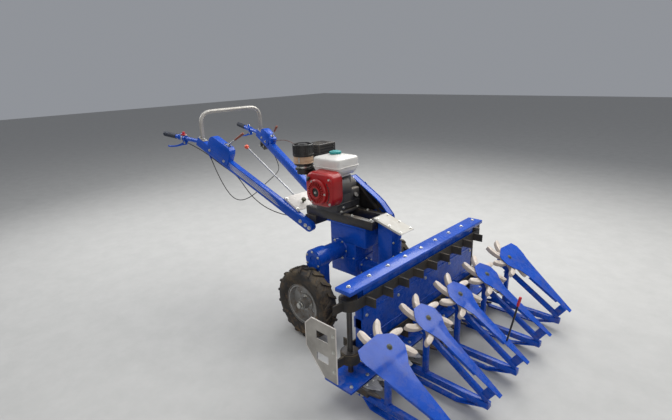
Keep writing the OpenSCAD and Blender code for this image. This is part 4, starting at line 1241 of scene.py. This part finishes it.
def engine_rails():
    """The black rails under the engine, and the member that the handles are bolted to."""
    made = bmesh.new()
    for y in (-90, 50):
        block(made, (-265, 250), (y, y + 40), (600, 650), 4)
    for x in (-265, 200):
        block(made, (x, x + 50), (-51, 51), (600, 650), 4)
    member = [(-262, -103.8), (-182, -92), (-182, 92), (-262, 103.8)]
    plate(made, member, 55, move(0, 0, 545), 3)
    ferrule(made, CLUTCH_WAY[-1], CLUTCH_WAY[-2], 30, 10)
    # Welds in the inner corners
    for x in (-214, 199):
        for y in (-49, 49):
            pipe(made, [(x, y, 604), (x, y, 649)], 5, 8)
    piece("engine_rails", made, "black_paint", replaces=["chassis_frame"])


def wheel_place(side):
    """A wheel's place: its Z runs along the axle, away from the machine."""
    return Matrix.Diagonal((1, side, 1, 1)) @ move(0, HALF_TRACK, AXLE_Z) @ turn_about("X", -math.pi / 2)


def tyre_lug():
    """One slanted lug of the tread: its top follows the tyre's round and drops at the shoulder."""
    outline = [(4, -12), (-34, 17), (-45, 25), (-45, 40), (-33, 35), (4, 8)]
    limit = WHEEL_R - 0.1
    shape = bmesh.new()
    tops = push(shape, [fill(shape, [(179, y, -x) for x, y in outline])], (0, 0, 0))
    for vert in tops:
        vert.co.x = math.sqrt(WHEEL_R ** 2 - vert.co.y ** 2) - (5 if abs(vert.co.z) > 40 else 0.0)
        vert.co.y *= 0.93
    rounded(shape, [e for e in shape.edges if all(v in tops for v in e.verts)], 1.8)
    for vert in shape.verts:
        reach = math.hypot(vert.co.x, vert.co.y)
        if reach > limit:
            vert.co.x *= limit / reach
            vert.co.y *= limit / reach
    return shape


def tyre(word, side):
    """The carcass with two raised rings on its side wall, and eighteen pairs of lugs."""
    made = bmesh.new()
    wall = [(108, 30), (108, 34), (111, 38.5), (117, 40), (123, 39.4), (131, 43), (140, 46.5), (151, 49),
            (163, 50), (174, 49), (183, 46.5), (189, 43), (191.5, 38), (193, 30), (193.6, 15), (194, 0)]
    for radius in (135.5, 168.5):
        index = next(k for k, (r, _) in enumerate(wall) if r > radius)
        r0, z0 = radius - 1.5, wall[index - 1][1] + 0.6
        wall[index:index] = [(r0, z0), (r0 + 0.6, z0 + 1.2), (r0 + 2.4, z0 + 1.3), (r0 + 3.0, z0 + 0.7)]
    wall = [(r, min(z, 50)) for r, z in sorted(wall, key=lambda point: point[0])]
    whole = [(r, -z) for r, z in wall] + [(r, z) for r, z in reversed(wall[:-1])]
    turned(made, whole + [whole[0]], wheel_place(side), 96)
    for k, station in enumerate(round_about(wheel_place(side), 36)):
        flip = Matrix.Diagonal((1, 1, -1, 1)) if k % 2 else HERE
        add_shape(made, tyre_lug(), station @ flip)
    piece("tyre_tread_" + word, made, "tyre", "wheel_" + word, ["tyre_" + word], sharp=38)


def rim_lips(word, side):
    """The rolled lips of the rim's flanges."""
    made = bmesh.new()
    place = wheel_place(side)
    for z in (-38, 38):
        ring(made, place @ Vector((0, 0, z)), place.to_3x3() @ Vector(UP), 116.2, 4.4, 72)
    piece("rim_lips_" + word, made, "rim_grey", "wheel_" + word)


def wheel_bolts(word, side):
    """The hub's nut and the four bolts round it."""
    made = bmesh.new()
    bolt(made, (0, 0, 50.5), UP, 30, wheel_place(side), 21, 14)
    for station in round_about(wheel_place(side), 4):
        bolt(made, (38, 0, 10), UP, 13, station)
    piece("wheel_bolts_" + word, made, "zinc", "wheel_" + word)


# Header

KNIFE_PITCH = 75
DRIVE_Z = 330


def header_channels(tin):
    """Channels, posts and pan, with gussets where the posts stand on the pan."""
    made = bmesh.new()
    block(made, (470, 530), (-500, 500), (300, 360), 6, segments=3)
    gusset = [(519, 111), (556, 111), (556, 117), (525, 160), (519, 160)]
    for y in (-500, -20, 460):
        block(made, (480, 520), (y, y + 40), (111, 521), 3)
        bar(made, gusset, 5, move(0, y + 20, 0), 1)
    block(made, (455, 545), (-600, 600), (520, 540), 4, segments=3)
    block(made, (440, 600), (-670, 600), (100, 112), 2.5)
    piece("header_channels", made, "blue_paint", replaces=["header_frame"])
    bolts(tin, [(500, y, 540) for y in range(-560, 561, 140)], UP, 13)
    bolts(tin, [(575, y, 112) for y in range(-640, 571, 110)], UP, 11)


def header_panel(tin):
    """The board behind the belts, with two pressed ribs."""
    made = bmesh.new()
    block(made, (530, 533), (-500, 500), (112, 520), 0.8, segments=1)
    for z in (262, 398):
        block(made, (532, 536), (-478, 478), (z - 5, z + 5), 2.4, segments=3)
    piece("header_panel", made, "blue_paint", replaces=["header_board"])
    bolts(tin, [(533, y, 380) for y in (-480, -240, 0, 240, 480)], AHEAD, 11)


def end_plate_rim():
    """The folded rim of the plate at the discharge end."""
    made = bmesh.new()
    rim = [(520, 114), (520, 392), (372, 392), (330, 350), (330, 235), (440, 114)]
    pipe(made, [(x, -668.5, z) for x, z in rim], 6, 10)
    piece("end_plate_rim", made, "pale_paint")


def header():
    tin = bmesh.new()
    header_channels(tin)
    header_panel(tin)
    bolts(tin, [(505, -670, z) for z in (170, 270, 350)], RIGHT, 11)
    piece("header_bolts", tin, "zinc")
    end_plate_rim()


def header_drive():
    """The drive tube with a flange at each end, and the case that brings the drive down to it."""
    made, tin = bmesh.new(), bmesh.new()
    disc(made, 42, 0, 350, pointing((120, 0, DRIVE_Z), AHEAD), 48)
    flange = [(0, 0), (58, 0), (58, 9), (56, 11), (0, 11)]
    for x in (121, 458):
        turned(made, flange, pointing((x, 0, DRIVE_Z), AHEAD), 48)
    bar(made, [(252, 330), (350, 330), (350, 628), (252, 656)], 90, HERE, 7)
    piece("header_drive_case", made, "blue_paint", replaces=["header_drive"])
    for y, up in circle(50, 6, math.tau / 12):
        bolt(tin, (131.8, y, DRIVE_Z + up), AHEAD, 9)
        bolt(tin, (458.2, y, DRIVE_Z + up), BACK, 9)
    bolts(tin, [(350, y, z) for z in (380, 460, 540, 610) for y in (-33, 33)], AHEAD, 10)
    piece("drive_case_bolts", tin, "zinc")


def drive_cover():
    """The white plate over the drive, its long edges folded down."""
    made, tin = bmesh.new(), bmesh.new()
    place = facing((235, 0, 664), (185, 0, -53))
    block(made, (0, 192.4), (-57, 57), (-3, 0), 0.9, place)
    for y in (-57, 54.6):
        block(made, (6, 186), (y, y + 2.4), (-12, -1), 0.8, place, 1)
    piece("drive_cover_sheet", made, "white_paint", replaces=["drive_cover"])
    bolts(tin, [(x, y, 0) for x in (18, 100, 176) for y in (-44, 44)], UP, 9, place)
    piece("drive_cover_bolts", tin, "zinc")


def cutter_bar():
    """The bar with its seventeen pointed fingers."""
    made, tin = bmesh.new(), bmesh.new()
    block(made, (560, 640), (-610, 610), (70, 99.8), 2.5)
    block(made, (604, 640), (-610, 610), (99, 106), 0.8)
    half = [(-2, 14), (12, 13.6), (26, 11), (44, 6.6), (60, 3.6), (65, 2.2)]
    finger = [*half, (66, 0)] + [(x, -y) for x, y in reversed(half)]
    for k in range(-8, 9):
        plate(made, finger, 10, move(640, k * KNIFE_PITCH, 96), 1.6)
        bolt(tin, (592, k * KNIFE_PITCH, 99.8), UP, 12, high=5)
    piece("cutter_fingers", made, "dark_steel", replaces=["cutter_bar"])
    piece("finger_bolts", tin, "zinc")


def knife():
    """The sliding back with sixteen sections, two rivets in each."""
    made, tin = bmesh.new(), bmesh.new()
    block(made, (606, 626), (-600, 600), (106.3, 110.3), 0.8, segments=1)
    section = [(-2, -36), (4, -36), (58, -8), (58, 8), (4, 36), (-2, 36)]
    rivet = [(0, 0), (4.4, 0), (3.8, 1.6), (2, 2.4), (0, 2.5)]
    for k in range(-8, 8):
        y = (k + 0.5) * KNIFE_PITCH
        plate(made, section, 3, move(626, y, 106.3), 0.9, 1)
        for aside in (-20, 20):
            turned(tin, rivet, move(616, y + aside, 110.2), 14)
    piece("knife_sections", made, "bright_steel", "knife", ["knife"])
    piece("knife_rivets", tin, "zinc", "knife")


# Dividers: each row's place has X down the cover towards its tip and Z square to the cover

ROWS = range(1, 6)
ROW_PITCH = 290
TILT = math.radians(33)
REACH = (1090 - 735) / math.cos(TILT)
OUTER = [(-70, -8), (-38, 60), (-18, 75), (28, 75), (63, 52), (95, 22), (150, 8), (REACH, -4), (REACH, -30),
         (300, -62), (82, -123), (6, -148), (-25, -154), (-60, -136)]
INNER_HALF = [(-70, 30), (-38, 62), (-18, 75), (28, 75), (63, 52), (110, 34), (300, 22), (REACH, 12)]
INNER = INNER_HALF + [(x, -y) for x, y in reversed(INNER_HALF)]


def row_place(row):
    return move(735, (row - 3) * ROW_PITCH, 357) @ turn_about("Y", TILT)


def divider_frame(made, tin, row):
    """A sloping beam with the star's spindle, and its post and runner below."""
    place = row_place(row)
    block(made, (-40, REACH - 20), (-12, 12), (-82, -58), 3, place)
    disc(made, 8, -59, -3.2, place, 24)
    turned(made, [(0, -58), (20, -58), (20, -55.4), (19, -54), (0, -54)], place, 32)
    turned(made, [(0, -8), (5, -8), (5, 5), (4, 6), (0, 6)], place, 20)
    block(made, (REACH - 60, REACH - 20), (-8, 8), (-59, -3.2), 2, place)
    below = move(0, (row - 3) * ROW_PITCH, 0)
    block(made, (560, 1045), (-15, 15), (40, 69.8), 3, below)
    block(made, (716, 740), (-12, 12), (60, 270), 3, below)
    runner = [(600, 41), (640, 0), (900, 0), (1020, 41), (1000, 41), (897, 8), (644, 8), (612, 41)]
    bar(made, runner, 30, below, 1.5)
    # Weld beads round the post
    for z in (70.5, 259):
        bead = [(714, -13.5, z), (742, -13.5, z), (742, 13.5, z), (714, 13.5, z), (714, -13, z)]
        pipe(made, fillet(bead, 4, 3), 4.5, 8, below)
    for x in (572, 596):
        for _, side in SIDES:
            bolt(tin, (x, side * 15, 55), (0, side, 0), 11, below)
    bolt(tin, (0, 0, -82), DOWN, 15, place)


def divider_frames():
    made, tin = bmesh.new(), bmesh.new()
    for row in ROWS:
        divider_frame(made, tin, row)
    piece("divider_beams", made, "blue_paint", replaces=["divider_frames"])
    piece("divider_beam_bolts", tin, "zinc")


def marker_tip():
    made = bmesh.new()
    tip, foot = Vector((1024, 0, 441)), Vector((982, 0, 199))
    cap = [(0, 0), (3.5, 0.3), (5.6, 1.6), (6.4, 3.8), (6.5, 7), (6.5, 46), (6.1, 49), (5.2, 50), (0, 50)]
    turned(made, cap, pointing(tip, (foot - tip).normalized()), 24)
    piece("marker_tip", made, "red_plastic", replaces=["marker_cap"], sharp=50)


def fold(x):
    """How far the sheet has sunk across the fold ahead of the bolt, from 0 to 1."""
    t = max(0.0, min(1.0, (x - 34) / (62 - 34)))
    return t * t * (3 - 2 * t)


def outer_lift(x, y):
    """The sheet sinks a little at the fold, and its middle line stands proud of its edges."""
    spine = max(0.0, 1 - abs(y + 22 + 0.06 * x) / 70)
    return -2.8 * fold(x) + 2.6 * fold(x) * spine - 0.004


def inner_lift(x, y):
    return -2.6 * fold(x) + 2.4 * fold(x) * max(0.0, 1 - abs(y) / 40) - 0.004


# Outline, height, lines along which the sheet may bend, and the edges that are turned down
OUTER_COVER = (OUTER, outer_lift, (-22, -4, -40, -58, -80, -105),
               (((300, -62), (82, -123)), ((150, 8), (345, -0.8))))
INNER_COVER = (INNER, inner_lift, (0, 12, -12, 24, -24),
               (((142, 32), (300, 22)), ((300, -22), (142, -32))))
CROSS_SEAMS = (-55, -40, 0, 34, 41, 48, 55, 62, 90, 130, 180, 230, 280, 330, 380, 410)


def divider_cover(made, tin, row):
    """One pointed hood; the fifth is the first one's mirror image."""
    place = row_place(row)
    outline, height, lines, turns = OUTER_COVER if row in (1, 5) else INNER_COVER
    hand = -1 if row == 5 else 1

    def lift(x, y):
        return height(x, y * hand)

    seams = [((x, 0, 0), AHEAD) for x in CROSS_SEAMS] + [((0, y * hand, 0), LEFT) for y in lines]
    sheet_solid(made, [(x, y * hand) for x, y in outline], 3, lift, place, seams)
    for edge in turns:
        start, end = [Vector((x, y * hand, -2.2 + lift(x, y * hand))) for x, y in edge[::hand]]
        long = (end - start).length
        block(made, (4, long - 4), (-3.4, -0.6), (-12.0, 0.2), 1.2, place @ facing(start, end - start))
    dome_bolt(tin, (0, 0, 0.2), UP, 21, place)


def divider_covers():
    made, tin = bmesh.new(), bmesh.new()
    for row in ROWS:
        divider_cover(made, tin, row)
    piece("divider_hoods", made, "blue_paint", replaces=["divider_covers"], sharp=30)
    piece("divider_bolts", tin, "knob_olive")


STAR_PRONGS = 7
STAR_RADIUS = 138
STAR_THICK = 24
FIRST_PRONG = math.radians(11)
# One prong, down its hollow front and back along its convex side, drawn with its tip this far out
PRONG_DRAWN = 131.22
PRONG = [(33, -14), (44, -11.6), (55, -10), (66, -10.2), (76, -12), (84, -15), (92, -19.4), (100, -24.2),
         (107, -27.4), (115, -29.3), (121, -28.8), (126.4, -26.2), (128.8, -22), (127.6, -17.5),
         (122, -10.5), (116, -4.6), (108, 1), (97, 7.8), (85, 13), (70, 17.8), (55, 20.6), (42, 21.6),
         (28, 21.4)]


def star(row):
    """A star wheel: seven prongs with a rib on each, round a hub with a raised ring."""
    place = row_place(row) @ move(0, 0, -32.5)
    made = bmesh.new()
    outline = []
    for k in range(STAR_PRONGS):
        spin = Matrix.Rotation(FIRST_PRONG + k * math.tau / STAR_PRONGS, 2)
        outline += [spin @ Vector(point) * STAR_RADIUS / PRONG_DRAWN for point in PRONG]
    shape = bmesh.new()
    push(shape, [fill(shape, [(point.x, point.y, 0) for point in outline])], (0, 0, STAR_THICK))
    bmesh.ops.recalc_face_normals(shape, faces=shape.faces)
    rounded(shape, level_edges(shape), 1.7)
    add_shape(made, shape, place)
    turned(made, [(8.1, 0), (30, 0), (30, STAR_THICK), (8.1, STAR_THICK), (8.1, 0)], place, 40)
    collar = [(9, 23.5), (20, 23.5), (20, 25.8), (18.8, 26.6), (10.5, 26.6), (9, 25.8), (9, 23.5)]
    turned(made, collar, place, 40)
    rib = [(30, 4, 22.8), (55, 5.2, 22.8), (80, 0.5, 23), (104, -11.5, 23.2), (116, -20.5, 23.4)]
    for station in round_about(place, STAR_PRONGS, FIRST_PRONG):
        pipe(made, rib, [4.6, 4.6, 4.2, 3.2, 1.8], 10, station)
    piece("star_wheel_%d" % row, made, "cream_plastic", "star_%d" % row, ["star_%d" % row], sharp=40)


# Every piece of the machine

for word, side in SIDES:
    handle_beam(word, side)
    grip(word, side)
for build in (hoop, lever_boxes, levers, gear_ball, hand_levers, stop_switch, beam_fittings, shift_plate,
              fuel_tank, fuel_tap, tank_cap, cleaner_base, cleaner_bowl, cleaner_cap, cleaner_clamp,
              fan_housing, housing_slot_shade, housing_bolts, recoil_cover, pull_handle,
              engine_castings, engine_bolts, plug_and_filler, fuel_hose, carburettor, muffler,
              guard_bolts, guard_inside_shade, side_cases, gear_case, engine_rails, guard_edges,
              header, header_drive, drive_cover, cutter_bar, knife,
              divider_frames, marker_tip, divider_covers):
    build()
for row in ROWS:
    star(row)
for word, side in SIDES:
    tyre(word, side)
    rim_lips(word, side)
    wheel_bolts(word, side)


# A pale floor, and soft studio light


def area_light(name, at, aim, size, power, colour=(1, 1, 1)):
    data = bpy.data.lights.new(name, "AREA")
    data.shape = "RECTANGLE"
    data.size, data.size_y = size
    data.energy = power
    data.color = colour
    lamp = bpy.data.objects.new(name, data)
    turn = (Vector(at) - Vector(aim)).to_track_quat("Z", "Y").to_matrix().to_4x4()
    lamp.matrix_world = Matrix.Translation(at) @ turn
    scene.collection.objects.link(lamp)


def studio_floor():
    ground = bmesh.new()
    bmesh.ops.create_grid(ground, x_segments=1, y_segments=1, size=20)
    floor_mesh = bpy.data.meshes.new("studio_floor")
    ground.to_mesh(floor_mesh)
    ground.free()
    floor = bpy.data.objects.new("studio_floor", floor_mesh)
    scene.collection.objects.link(floor)
    floor_mesh.materials.append(finish("studio_floor", (0.46, 0.455, 0.44), 0.85, mottle=0.02, grain=60,
                                       bump=0.02, dust=0))


def sky():
    world = bpy.data.worlds.new("studio")
    scene.world = world
    world.use_nodes = True
    background = world.node_tree.nodes["Background"]
    background.inputs["Color"].default_value = (0.88, 0.92, 1.0, 1)
    background.inputs["Strength"].default_value = 0.32


studio_floor()
sky()
area_light("back_strip", (0.4, 2.4, 3.2), (0.1, 0, 0.6), (4.6, 2.0), 150, (1.0, 0.99, 0.97))
area_light("sky_panel", (-0.4, 0.2, 4.6), (0, 0, 0.5), (4.0, 4.0), 110, (0.95, 0.98, 1.0))
area_light("camera_side_fill", (2.6, -3.2, 1.9), (0, 0, 0.6), (3.0, 2.0), 34, (1.0, 0.97, 0.93))
area_light("rear_edge", (-3.0, -0.8, 2.4), (-0.4, 0, 0.8), (2.0, 1.5), 40)
scene.view_settings.view_transform = "Standard"
